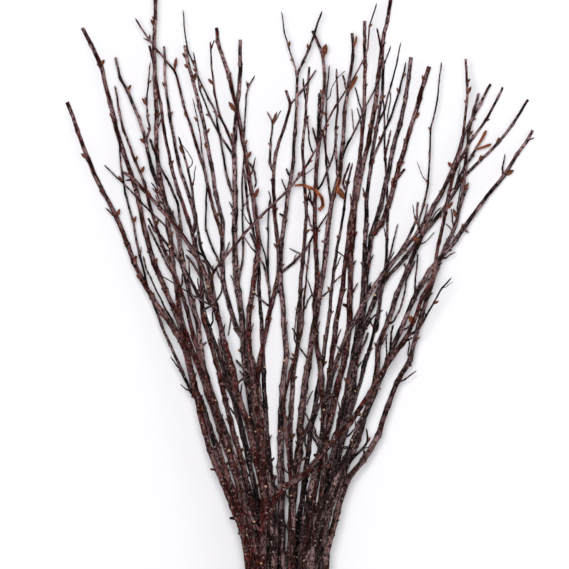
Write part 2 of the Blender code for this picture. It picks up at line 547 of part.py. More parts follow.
def spur_cutter(name, limbs, bunch):
    """The spurs of one limb as a hidden guide that is joined to it."""
    joined = bmesh.new()
    for index, limb in enumerate(limbs):
        mesh = rod_mesh(f"{name}_spur_{index}", limb, SPUR_SIDES)
        joined.from_mesh(mesh)
        bpy.data.meshes.remove(mesh)
    mesh = bpy.data.meshes.new(f"{name}_spurs")
    joined.to_mesh(mesh)
    joined.free()
    cutter = add_object(f"{name}_spurs", mesh, bunch)
    cutter.hide_render = True
    cutter.display_type = "WIRE"
    return cutter


def build_limb(name, bark, limb, parent, spurs, materials, bunch):
    """One node: a rod with its spurs fused on."""
    mesh = rod_mesh(name, limb, SIDES, parent)
    mesh.materials.append(materials[bark])
    mesh.shade_smooth()
    mesh.set_sharp_from_angle(angle=math.radians(80))
    thing = add_object(name, mesh, bunch)
    if spurs:
        fuse = thing.modifiers.new("spurs", "BOOLEAN")
        fuse.operation = "UNION"
        fuse.object = spur_cutter(name, spurs, bunch)
        fuse.use_self = True
    return thing


def build():
    """Lay the branches and model each stem and side branch."""
    clear_scene()
    branches, spurs = grow_branches()
    lay_branches(branches, spurs)
    materials = {bark: bark_material(bark) for bark in BARK}
    bunch = bpy.data.objects.new("birch_bunch", None)
    bpy.context.scene.collection.objects.link(bunch)
    limbs = {name: limb for branch in branches.values() for name, limb in branch.items()}
    for name, bark, _, _, _ in STEMS:
        build_limb(name, bark, limbs[name], None, spurs.get(name), materials, bunch)
    for name, parent, bark, _, _, _, _ in SIDE_BRANCHES:
        build_limb(name, bark, limbs[name], limbs[parent], spurs.get(name), materials, bunch)
    bpy.context.view_layer.update()


build()
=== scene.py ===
"""The looks of a bunch of cut birch branches that lies on a table.

Every stem and side branch follows its traced route in X and Y, and takes its height from the
CAD node that it replaces. Bark, nodes, thin twigs, knots, buds, catkins, lenticels and peeled
bark are made here.
"""

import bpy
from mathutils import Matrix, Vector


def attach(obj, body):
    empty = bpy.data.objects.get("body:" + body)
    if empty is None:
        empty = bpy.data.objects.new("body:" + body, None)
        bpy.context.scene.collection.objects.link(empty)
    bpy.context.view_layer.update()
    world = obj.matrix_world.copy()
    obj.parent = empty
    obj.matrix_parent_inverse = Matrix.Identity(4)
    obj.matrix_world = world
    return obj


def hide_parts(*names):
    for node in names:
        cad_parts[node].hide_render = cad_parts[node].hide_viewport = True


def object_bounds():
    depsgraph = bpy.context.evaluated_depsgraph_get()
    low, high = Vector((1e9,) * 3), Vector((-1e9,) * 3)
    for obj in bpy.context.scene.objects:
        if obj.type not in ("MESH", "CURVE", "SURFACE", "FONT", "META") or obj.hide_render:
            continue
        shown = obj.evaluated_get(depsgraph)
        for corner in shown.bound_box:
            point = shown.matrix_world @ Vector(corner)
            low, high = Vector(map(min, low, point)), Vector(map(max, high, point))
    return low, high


bl_info = {
    "name": "Birch branch",
    "version": (1, 0, 0),
    "blender": (4, 5, 0),
    "location": "View3D > Sidebar > Birch",
    "description": "Makes a bunch of cut birch branches, its buds and catkins, and its stage",
    "category": "Object",
}

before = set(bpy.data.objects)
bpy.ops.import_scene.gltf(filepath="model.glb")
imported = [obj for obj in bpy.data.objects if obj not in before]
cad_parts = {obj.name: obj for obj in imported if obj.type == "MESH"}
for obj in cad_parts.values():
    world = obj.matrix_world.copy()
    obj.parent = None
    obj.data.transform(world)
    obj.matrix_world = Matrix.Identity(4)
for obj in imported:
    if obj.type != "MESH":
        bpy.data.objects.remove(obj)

import math
import random

import bpy
import numpy as np
from bpy.props import FloatProperty, FloatVectorProperty, IntProperty, PointerProperty
from mathutils import Vector
from mathutils.bvhtree import BVHTree

CAD_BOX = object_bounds()
BODY = "root"

# The traced view is in millimetres, and its middle is the middle of the bunch
MM = 0.001
MIDDLE_X = 0.00715
MIDDLE_Y = 0.1645

# A stem or side branch with at least this radius at its tip, in mm, ends in a cut
CUT_TIP_RADIUS = 0.8

# Lengths in metres that shape the wood
NODE_REACH = 0.0019
SCAR_OFFSET = 0.0008
SCAR_REACH = 0.0007
COLLAR_REACH = 0.0024
BRANCH_TIP_ROUNDING = 0.0022
TWIG_TIP_ROUNDING = 0.0016
TWIG_RING_STEP = 0.0009
LONG_LEG = 0.026
NEW_TWIG_LEG = 0.0060
NEW_TWIG_FOOT = 0.00075
BUD_STALK_RADIUS = 0.00075
CATKIN_BOW = 0.0006
CURL_THICKNESS = 0.00035
CURL_RISE = 0.002

# Small buds grow on wood thinner than the first radius, and knots on wood thicker than the
# second, in metres
BUDDED_BELOW = 0.0019
KNOTTED_ABOVE = 0.0014

# New twigs grow only between these two heights of the traced view, in mm
TWIGS_FROM_Y = 30.0
TWIGS_TO_Y = 260.0

# Pale specks thin out over this height of the traced view in mm, and below this radius in metres
SPECKS_HEIGHT = 260.0
SPECKS_RADIUS = 0.0012

# Edges sharper than this angle, in degrees, are shaded as corners
SHARP_ANGLE = 50.0

# How new wood finds room among the branches, in metres
SAMPLE_STEP = 0.0015
FORK_REACH = 0.006
CLEARANCE = 0.0001
TINY = 0.00001

# How little the direction counts beside the distance when a thin twig looks for its root
DISTANCE_WEIGHT = 1.2

# Features of each bark pattern to a metre
PATCH_SCALE = 70.0
MOTTLE_SCALE = 520.0
FIBRE_SCALE = 1100.0
GRAIN_SCALE = 1400.0
# The silvery skin's pattern is partly painted highlight
FILM_AND_HIGHLIGHT_SCALE = 300.0
BLOOM_SCALE = 480.0
WEAR_SCALE = 760.0
SPECK_SCALE = 330.0

# Where the bloom of young wood starts and where it is full, in metres along Y
BLOOM_START = -0.16
BLOOM_FULL = 0.20

BARK_SHINE = 0.05
BUMP_STRENGTH = 0.8

# Stems, from the back of the bunch to the front, in the order in which they are laid.
# Each has its name, bark, radius at the cut end and at the tip, and its route in mm.
STEMS = (
    ("low_left_stem", "dark", 2.4, 0.8, (
        (-15, -53), (-16.5, 0), (-24, 45), (-32, 80), (-40, 110), (-48, 135), (-55, 155),
        (-63, 178), (-72, 195), (-80, 207), (-88, 217), (-93, 222), (-97, 230))),
    ("low_right_stem", "dark", 2.4, 0.8, (
        (17, -57), (18.5, 0), (24, 30), (31, 60), (36, 90), (40, 110), (46, 140), (55, 168),
        (64, 190), (75, 206), (83.5, 222), (86.5, 229), (87.5, 241))),
    ("core_stem", "dark", 2.6, 0.7, (
        (-9, -60), (-10, 0), (-14, 60), (-17, 100), (-19, 150), (-21, 180), (-22, 206),
        (-26, 224), (-28.5, 236), (-30, 250), (-32, 266))),
    ("back_stem", "dark", 2.4, 0.7, (
        (2, -59), (3, 0), (10, 50), (15, 90), (22, 130), (27, 165), (30, 195), (33.5, 216),
        (37, 236), (39, 253), (43, 268))),
    ("left_dark_stem", "dark", 2.1, 0.7, (
        (-16.5, -58), (-17.5, 0), (-22, 35), (-29, 70), (-36, 100), (-42, 125), (-47, 150),
        (-50, 170), (-54, 188), (-57, 200), (-61.5, 212), (-64.5, 232), (-67.5, 252),
        (-69.5, 263), (-73, 275), (-76.5, 286))),
    ("middle_brown_stem", "brown", 2.2, 0.8, (
        (1, -52), (1.5, 0), (1, 40), (0, 80), (2, 120), (6, 150), (7, 180), (8.5, 200),
        (10.5, 220), (11, 240), (9.3, 260), (8.7, 279), (10.3, 297), (12, 317), (13, 333.5))),
    ("right_wand", "dark", 1.8, 0.6, (
        (21, -50), (22, 0), (29, 45), (37, 80), (44, 105), (50, 125), (58, 155), (62.5, 180),
        (65.5, 200), (66.8, 230), (66.5, 248), (65, 270), (64.7, 290), (64, 312))),
    ("left_inner_stem", "red", 2.3, 0.8, (
        (-18, -52), (-19, 0), (-25, 32), (-33, 64), (-41, 92), (-47, 118), (-54, 145),
        (-59, 160), (-60.5, 180), (-61, 196), (-65, 212), (-69.5, 229), (-76, 247),
        (-81.5, 267), (-86, 290), (-88.5, 308), (-92, 328), (-96, 348))),
    ("tall_red_stem", "red", 2.3, 1.1, (
        (10, -54), (11, 0), (15, 30), (22, 75), (24.5, 100), (27.5, 125), (31, 155),
        (35.5, 180), (38, 200), (41, 225), (45, 255), (48.5, 278), (50.8, 305), (51.3, 335),
        (51, 365))),
    ("right_dark_stem", "dark", 2.6, 0.9, (
        (13.5, -56), (14.5, 0), (22, 35), (29, 65), (34.5, 92), (40, 118), (43.5, 138),
        (47, 158), (50, 178), (50.5, 198), (51.7, 220), (52.5, 244), (55.3, 267),
        (58.8, 290), (62.7, 312), (63.7, 334), (63.5, 350))),
    ("left_centre_stem", "grey", 2.2, 1.1, (
        (-8, -55), (-8.5, 0), (-12, 45), (-16, 75), (-21, 105), (-23, 125), (-29, 142),
        (-36, 154), (-41.5, 170), (-45.5, 187), (-46.3, 204), (-46, 226), (-50.5, 246),
        (-54, 267), (-57.8, 288), (-61.5, 306), (-66.5, 324), (-70.5, 340), (-72, 348))),
    ("red_centre_stem", "red", 2.5, 0.9, (
        (-14, -60), (-14.5, 0), (-16.5, 55), (-20, 85), (-24, 110), (-20, 135), (-15, 160),
        (-10, 182), (-7.5, 195), (-8.2, 210), (-10.6, 235), (-11.4, 255), (-10, 274),
        (-4, 291.5), (0, 308), (-2.5, 317.5))),
    ("budded_stem", "red", 2.4, 1.0, (
        (7.5, -58), (8.5, 0), (13.5, 30), (20, 65), (23, 91), (21.5, 121), (17.5, 151),
        (17, 171), (18.5, 191), (17, 221), (17.3, 251), (19.5, 281), (21.2, 301),
        (23.8, 328), (21.5, 343), (15.5, 357.5))),
    ("left_top_stem", "red", 2.4, 1.2, (
        (-20.5, -54), (-22, 0), (-29, 28), (-39.5, 62), (-48, 86), (-56, 110), (-64, 133),
        (-71, 150), (-75, 164), (-77, 180), (-80, 199), (-82, 218), (-84.5, 238),
        (-88.5, 256), (-91, 275), (-91, 300), (-92, 325), (-92.5, 345), (-92, 365),
        (-90.5, 391))),
    ("grey_centre_stem", "grey", 3.2, 1.2, (
        (-13, -56), (-13.5, 0), (-16, 35), (-20, 66), (-25, 94), (-29, 118), (-31.5, 140),
        (-32.5, 160), (-35.5, 180), (-37.5, 200), (-37.7, 222), (-37.3, 248), (-38.2, 272),
        (-37, 298), (-35, 315), (-34, 335), (-34, 352))),
    ("black_stem", "dark", 2.6, 1.3, (
        (19, -58), (20.5, 0), (27.5, 38), (32.5, 65), (38, 90), (43, 115), (45.5, 137),
        (48.5, 157), (51.5, 177), (52.5, 197), (55.5, 217), (61.5, 237), (66.3, 257),
        (70.3, 277), (75, 294), (79.3, 313), (81, 326), (83, 340))),
    ("tall_right_stem", "red", 2.8, 1.2, (
        (6, -62), (6.5, 0), (12, 30), (20, 62), (27, 90), (32.5, 115), (38, 137),
        (40.5, 157), (41, 177), (41.3, 196), (42.7, 218), (45, 243), (49, 263),
        (53.8, 283), (57.8, 305), (60.5, 327), (63, 349), (66.5, 365), (70, 388))),
    ("middle_grey_stem", "grey", 2.9, 0.7, (
        (-5, -57), (-5.5, 0), (-6, 40), (-6.5, 80), (-5, 115), (-2.5, 137), (-4, 157),
        (-5.5, 177), (-7, 197), (-4, 227), (-1, 248), (2.2, 268), (3.3, 288), (4.8, 308),
        (5, 328), (8.8, 336), (13, 345), (17, 357), (22, 371))),
    ("right_slanting_stem", "grey", 2.3, 0.8, (
        (5, -57), (5.5, 0), (14, 45), (22.5, 82), (25.5, 106), (30, 128), (39, 150),
        (50, 171.5), (62.5, 191), (77, 208), (88, 221), (98, 239), (110, 258), (117, 271),
        (125, 285), (134, 297), (142.5, 313), (145.3, 319.5))),
    ("right_fine_stem", "dark", 2.1, 0.9, (
        (15, -53), (15.5, 0), (22, 36), (28, 64), (35, 92), (41, 117), (45, 136), (50, 154),
        (56, 170), (66, 189), (78.5, 203), (90, 218), (101, 231), (110, 244), (118, 257),
        (130, 269.5), (142.5, 281.5), (152, 294), (163, 311))),
    ("peeling_stem", "brown", 3.1, 1.0, (
        (0.5, -60), (0.5, 0), (2, 40), (6, 70), (8, 100), (12, 128), (15.5, 150),
        (19, 172), (22, 190), (24.5, 206), (26, 226), (29.5, 245), (34, 262), (36, 281),
        (37.3, 302), (40, 321), (43, 340), (42.3, 356))),
    ("right_main_stem", "brown", 2.8, 0.9, (
        (16, -60), (17, 0), (26, 30), (36, 55), (46, 79), (53, 101), (59, 122), (60, 142),
        (67, 160), (73, 178), (80, 195), (88, 213), (92, 225), (103, 246), (112, 266),
        (118, 285), (124, 297), (129.5, 307.5), (137, 321.5))),
    ("left_grey_stem", "grey", 3.0, 0.9, (
        (-20.5, -60), (-21.5, 0), (-27, 24), (-35, 55), (-43, 80), (-51, 103), (-57, 121),
        (-61, 139), (-62.5, 158), (-67, 172), (-70, 187), (-74, 200), (-75.5, 217),
        (-81, 232), (-88, 247), (-94, 263), (-98.5, 283), (-103, 298), (-111, 316.5),
        (-115.5, 325), (-119, 339.5))),
    ("left_red_stem", "red", 2.3, 0.7, (
        (-22, -57), (-23, 0), (-29, 26), (-38, 60), (-46, 86), (-54, 110), (-60, 130),
        (-65.5, 149), (-70.5, 168), (-77.5, 189), (-83, 202), (-90.5, 221), (-95.5, 239),
        (-99.5, 254), (-105.5, 269), (-113.5, 290), (-116.5, 303), (-119.5, 320.5))),
    ("outer_right_stem", "brown", 2.5, 0.9, (
        (23, -55), (24.5, 0), (32, 30), (39.5, 53), (50, 65), (60, 82), (66.5, 102),
        (73, 118), (81.5, 133), (89, 162), (94.5, 178), (100, 195), (106.5, 211),
        (112.5, 224), (117.3, 243), (119.8, 265), (121.8, 287), (125.5, 303), (128.6, 315))),
    ("left_tall_stem", "red", 2.5, 1.3, (
        (-24.5, -55), (-26, 0), (-33, 28), (-44, 58), (-55, 88), (-62.5, 108), (-65.5, 118),
        (-70, 138), (-73, 150), (-77, 164), (-85, 181), (-92.5, 199), (-98.5, 219),
        (-103, 241), (-108, 259), (-114.5, 277), (-120, 297), (-123, 309), (-129.3, 334),
        (-136, 349), (-142, 360))),
    ("far_right_stem", "grey", 2.7, 1.1, (
        (12, -60), (13, 0), (17, 16), (27, 43), (38, 66), (48, 90), (58, 112), (67, 134),
        (75, 153), (84, 174), (89, 184), (95, 194), (102, 202), (113, 215), (118.5, 223),
        (130, 239), (146, 259), (155, 273), (162, 283), (166, 290))),
    ("pink_stem", "red", 2.5, 1.2, (
        (-10.5, -58), (-11, 0), (-15.5, 40), (-19, 72), (-23, 100), (-26, 126), (-28.5, 148),
        (-27.5, 168), (-24.5, 188), (-21.3, 214), (-24, 236), (-28, 258), (-31.5, 280),
        (-36, 303), (-41.5, 326), (-49, 350), (-50.5, 360))),
    ("slim_red_stem", "red", 1.5, 0.6, (
        (0, -50), (0.5, 20), (0, 55), (-2.5, 85), (-4, 105), (0, 125), (5, 140), (9, 158),
        (9.5, 175), (12, 196), (13.5, 214))),
    ("broken_stem", "brown", 1.9, 1.2, (
        (2, -56), (2, 10), (3, 60), (9, 81), (18, 99), (23, 106), (31, 110.5))),
    ("short_cut_stem", "brown", 2.1, 1.8, (
        (14, -57), (15, 0), (20, 35), (23.5, 60), (23.5, 77))),
    ("forked_cut_stem", "grey", 2.0, 1.6, (
        (-12, -55), (-12, 10), (-12.5, 30), (-13, 45), (-15.5, 62))),
    ("outer_left_stem", "dark", 1.7, 0.6, (
        (-24, -60), (-28.5, 0), (-33, 18), (-39.5, 38), (-47, 58), (-52, 78), (-57, 97),
        (-67.5, 112), (-73.4, 125.6), (-81.8, 143.6), (-87.8, 158), (-96.5, 181),
        (-102.5, 205), (-107.6, 229), (-112.2, 246.8), (-114.6, 260), (-116.6, 283))),
    ("far_left_stem", "red", 2.3, 1.3, (
        (-27, -58), (-29.5, 5), (-33.5, 20), (-39, 34), (-45.5, 50), (-54.5, 72),
        (-61.5, 99), (-66, 118), (-69.5, 132), (-72.5, 143), (-77.6, 152), (-86, 164),
        (-93.8, 176), (-101, 188), (-106.2, 200), (-111, 212), (-118.2, 230.6),
        (-127.8, 248), (-138, 270.2), (-145.2, 290), (-152.2, 309.2))),
    ("forked_red_stem", "red", 3.1, 1.0, (
        (-19, -60), (-19, 0), (-18, 24), (-17, 34), (-18, 44), (-23, 66), (-28, 88),
        (-35, 108), (-39, 127), (-44, 144), (-49, 162), (-54.5, 178), (-56, 187),
        (-59.5, 196), (-64.5, 205), (-76, 222), (-88, 236), (-100, 249.5), (-106, 256),
        (-113, 261))),
)

# Side branches: name, parent, bark, radius at the foot and at the tip, rise over run away
# from the parent's plane, and the route from the fork in mm.
SIDE_BRANCHES = (
    ("red_diagonal", "forked_red_stem", "red", 2.1, 0.8, 0.05, (
        (-18, 24), (-13, 31), (-10, 40), (-3, 48), (5, 52.5), (13, 60), (28, 77), (41, 91), (54, 111),
        (66, 131), (79, 149), (84, 160), (90, 176), (97, 190), (101, 213), (105.5, 233),
        (108, 248), (113, 265), (117.5, 285), (120, 308), (120.5, 322), (119.3, 338))),
    ("fine_diagonal", "forked_red_stem", "red", 1.0, 0.5, 0.10, (
        (-56, 187), (-46, 201), (-31, 219), (-18, 233), (-4, 246), (6, 258), (13, 268),
        (19, 279), (24, 292), (31, 306), (43, 324), (53, 345), (54, 360), (59, 376))),
    ("right_spike", "red_diagonal", "dark", 0.9, 0.5, 0.10, (
        (79, 149), (87, 154), (92, 163), (97.5, 172), (103, 182), (109.5, 189.5))),
    ("left_grey_twig", "left_grey_stem", "grey", 0.8, 0.5, 0.12, (
        (-98.5, 283), (-95.7, 290), (-96.8, 299), (-97.6, 310), (-96.5, 322), (-94.8, 336))),
    ("left_inner_twig", "left_inner_stem", "grey", 1.3, 0.8, 0.10, (
        (-67, 220), (-64.5, 227.5), (-67.5, 241), (-73.5, 258), (-76.5, 270), (-79, 282), (-82, 300),
        (-85, 320), (-85.3, 335), (-86, 347))),
    ("grey_long_twig", "grey_centre_stem", "dark", 0.9, 0.4, 0.05, (
        (-37.4, 240), (-42, 254), (-45.7, 273), (-49, 292), (-50.7, 302), (-55.5, 311),
        (-64, 330), (-69.5, 344), (-72.3, 362), (-73, 372))),
    ("grey_mid_twig", "grey_centre_stem", "dark", 0.8, 0.4, -0.12, (
        (-38.2, 272), (-43, 279), (-47.5, 286), (-54.8, 300), (-61.5, 318), (-64.7, 336),
        (-66.2, 344))),
    ("grey_top_twig", "grey_centre_stem", "red", 0.9, 0.5, -0.08, (
        (-38, 278), (-43, 289), (-47.5, 299), (-51.7, 316), (-53.6, 336), (-54.6, 351))),
    ("grey_inner_twig", "grey_centre_stem", "dark", 0.8, 0.5, 0.06, (
        (-36, 184), (-32.6, 198), (-32, 214), (-32.5, 238), (-32.6, 254), (-31.4, 272),
        (-31.2, 290), (-29.6, 314), (-28, 320), (-24, 327.5))),
    ("angled_branch", "left_centre_stem", "red", 1.2, 0.6, 0.05, (
        (-46, 218), (-50.8, 231), (-55.4, 249), (-60, 268), (-64, 280), (-68, 293),
        (-73, 309), (-78.8, 330.5), (-90, 343.5), (-96, 351.5), (-105.5, 366))),
    ("pale_twig", "left_centre_stem", "grey", 0.8, 0.4, 0.17, (
        (-46, 192), (-49, 201), (-52.5, 209), (-57.5, 222), (-57, 240), (-57, 258),
        (-60, 276), (-62.7, 296), (-66.3, 311.7))),
    ("centre_fork", "red_centre_stem", "brown", 0.9, 0.5, 0.10, (
        (-11, 262), (-13.9, 267.5), (-13.2, 280), (-12.2, 296), (-16, 303))),
    ("beige_diagonal", "red_centre_stem", "brown", 1.0, 0.6, 0.12, (
        (-8, 191), (3, 200), (10, 208), (18, 221), (27, 235))),
    ("centre_dark_twig", "red_centre_stem", "dark", 0.8, 0.5, 0.10, (
        (-13, 168), (-14.8, 184), (-15, 200), (-15, 222), (-14, 243))),
    ("middle_top_twig", "middle_grey_stem", "grey", 0.7, 0.4, 0.15, (
        (5, 326), (2, 337), (-1, 347), (-4, 357), (-5.8, 371))),
    ("pale_peeling_twig", "peeling_stem", "grey", 1.0, 0.7, 0.15, (
        (33, 259), (31, 274), (31.3, 290), (32.5, 310), (31.5, 331.5))),
    ("dark_crossing_twig", "peeling_stem", "dark", 0.8, 0.5, 0.12, (
        (35, 270), (40, 282), (45, 291), (50, 302), (55, 312.5), (61, 324.5))),
    ("inner_peeling_twig", "peeling_stem", "dark", 0.9, 0.5, -0.10, (
        (28.5, 240), (25.8, 256), (24.6, 268), (24.3, 284), (24.7, 300), (25.3, 320),
        (27, 334.5))),
    ("right_dark_twig", "right_dark_stem", "dark", 0.9, 0.6, 0.08, (
        (55.6, 269), (62, 283), (68.3, 298), (74.5, 316), (77, 327), (79, 336.5))),
    ("right_upper_twig", "right_dark_stem", "dark", 0.8, 0.4, -0.08, (
        (59.5, 294), (64.5, 304), (69, 321), (73.5, 338), (76, 350.5))),
    ("black_side_branch", "black_stem", "red", 1.7, 1.4, 0.08, (
        (56, 219), (62.5, 225.7), (67, 238), (71, 252), (75, 267), (82, 290), (88.5, 312),
        (92, 324), (95, 333.5))),
    ("right_hair_twig", "right_main_stem", "dark", 0.8, 0.5, 0.12, (
        (90, 219), (87.7, 225.5), (90.8, 238), (94.3, 254), (95.2, 274), (96, 290), (100.3, 310),
        (103, 336.5))),
    ("catkin_twig", "right_fine_stem", "dark", 1.0, 0.8, 0.15, (
        (113.5, 250), (114.8, 257), (119, 264), (124, 272), (128, 279.5))),
    ("crossed_twig", "outer_right_stem", "dark", 1.1, 0.7, -0.15, (
        (38.5, 50), (37.6, 58), (43, 67), (49.5, 73), (53, 78), (52, 87))),
)


# What is fused to a branch: owner, kind, radius at the foot and at the end, where it starts
# on the owner's axis and where it ends, in mm. A stub ends in a pale cut.
SPURS = (
    ("left_tall_stem", "bud", 0.7, 0.5, (-120, 297), (-123, 301.5)),
    ("left_tall_stem", "bud", 0.9, 0.6, (-129.3, 334), (-127, 338)),
    ("left_red_stem", "bud", 0.9, 0.5, (-101.8, 260), (-99.4, 265)),
    ("left_grey_stem", "bud", 0.8, 0.5, (-111, 316.5), (-108.5, 320.5)),
    ("left_grey_stem", "bud", 0.7, 0.5, (-98, 280), (-102.2, 284)),
    ("left_grey_stem", "stub", 1.3, 1.1, (-61, 139), (-65, 143)),
    ("left_grey_twig", "bud", 0.45, 0.35, (-97.4, 306), (-100.6, 311.5)),
    ("left_top_stem", "bud", 0.8, 0.4, (-92, 360), (-94.6, 365)),
    ("left_top_stem", "twig", 0.6, 0.4, (-91, 289), (-86.5, 301)),
    ("left_dark_stem", "bud", 0.8, 0.5, (-72.5, 273), (-75.5, 279)),
    ("outer_left_stem", "bud", 0.8, 0.5, (-107, 226), (-105, 231)),
    ("outer_left_stem", "bud", 0.7, 0.4, (-113.6, 254), (-117, 258.5)),
    ("far_left_stem", "bud", 0.9, 0.5, (-138, 270.2), (-142.5, 274)),
    ("far_left_stem", "bud", 0.9, 0.5, (-118.2, 230.6), (-116.2, 236)),
    ("far_left_stem", "bud", 0.9, 0.6, (-101, 188), (-104.6, 191)),
    ("far_left_stem", "stub", 0.9, 0.6, (-72.5, 143), (-76.6, 146)),
    ("low_left_stem", "bud", 0.9, 0.5, (-93, 222), (-90, 229)),
    ("forked_red_stem", "twig", 0.8, 0.6, (-106, 256), (-112.5, 255.5)),
    ("forked_red_stem", "bud", 0.8, 0.5, (-94, 243), (-97.5, 249)),
    ("forked_red_stem", "stub", 1.5, 1.2, (-18.4, 16), (-23.6, 22)),
    ("red_diagonal", "bud", 0.9, 0.5, (105.8, 235), (110.5, 240.5)),
    ("red_diagonal", "bud", 0.9, 0.6, (83, 157), (80.6, 163.5)),
    ("red_diagonal", "bud", 0.8, 0.5, (120.2, 313), (123, 319)),
    ("grey_centre_stem", "bud", 1.1, 0.6, (-36.8, 302), (-41.5, 309)),
    ("grey_top_twig", "bud", 0.5, 0.4, (-52.3, 321), (-55.7, 325)),
    ("grey_top_twig", "twig", 0.5, 0.4, (-54.2, 345), (-51.5, 352)),
    ("grey_inner_twig", "twig", 0.5, 0.4, (-28.6, 317), (-30.2, 324)),
    ("pink_stem", "bud", 0.9, 0.5, (-30, 270), (-26.5, 275)),
    ("pink_stem", "bud", 1.0, 0.4, (-25, 242), (-21.5, 250)),
    ("pink_stem", "twig", 0.6, 0.4, (-38, 311), (-40.6, 330)),
    ("left_centre_stem", "bud", 0.9, 0.4, (-66.2, 323), (-64.6, 329)),
    ("left_centre_stem", "bud", 0.8, 0.5, (-68.5, 332), (-72, 335)),
    ("left_centre_stem", "bud", 0.8, 0.4, (-55.5, 276), (-58.3, 281)),
    ("angled_branch", "bud", 0.9, 0.4, (-78.8, 330.5), (-77.6, 339)),
    ("angled_branch", "bud", 0.8, 0.4, (-69.6, 298), (-71.9, 302)),
    ("angled_branch", "twig", 0.6, 0.4, (-95, 350), (-100, 352.5)),
    ("red_centre_stem", "twig", 0.7, 0.6, (-0.2, 307), (9, 318)),
    ("centre_fork", "bud", 0.5, 0.4, (-12.4, 293), (-9.2, 302)),
    ("middle_brown_stem", "twig", 0.7, 0.6, (11.1, 308), (8.8, 326)),
    ("budded_stem", "bud", 1.6, 1.0, (22.3, 339), (24.5, 348)),
    ("budded_stem", "twig", 0.8, 0.7, (19.3, 277), (15.5, 292)),
    ("budded_stem", "stub", 1.1, 0.8, (17.1, 238), (10, 246)),
    ("peeling_stem", "bud", 1.6, 1.0, (31.6, 252), (37, 243)),
    ("peeling_stem", "catkin", 0.8, 0.8, (39, 315), (46, 327)),
    ("peeling_stem", "catkin", 0.7, 0.6, (42.8, 345), (45.5, 354)),
    ("tall_right_stem", "twig", 0.8, 0.5, (62.4, 344), (59.5, 360)),
    ("tall_red_stem", "twig", 0.6, 0.4, (49.5, 290), (46, 306)),
    ("right_dark_stem", "twig", 0.6, 0.4, (63.7, 334), (69, 348)),
    ("black_side_branch", "bud", 1.0, 0.6, (84.2, 297), (88.2, 302)),
    ("black_side_branch", "stub", 1.0, 0.8, (72, 256), (78.5, 263.5)),
    ("black_stem", "stub", 1.1, 0.9, (53.8, 206), (50.3, 213)),
    ("right_main_stem", "bud", 1.4, 0.9, (88, 213), (84.5, 217)),
    ("right_main_stem", "bud", 0.9, 0.6, (111, 264), (108, 268)),
    ("far_right_stem", "bud", 1.2, 0.7, (146, 259), (152.5, 262.5)),
    ("far_right_stem", "stub", 0.8, 0.6, (118.5, 223), (121.5, 220)),
    ("far_right_stem", "twig", 0.6, 0.4, (162, 283), (167.5, 285)),
    ("right_fine_stem", "bud", 0.7, 0.5, (141, 280), (143, 285)),
    ("outer_right_stem", "bud", 0.8, 0.5, (118, 247), (121.8, 254)),
    ("outer_right_stem", "bud", 0.8, 0.5, (114, 229), (111.5, 236)),
    ("catkin_twig", "catkin", 0.7, 0.9, (127.2, 278), (134, 290)),
    ("catkin_twig", "catkin", 0.65, 0.8, (126.4, 276.5), (137.5, 280.5)),
    ("forked_cut_stem", "stub", 1.5, 1.3, (-13, 46), (-10, 55)),
    ("short_cut_stem", "stub", 1.3, 1.1, (23.3, 58), (27, 65)),
)

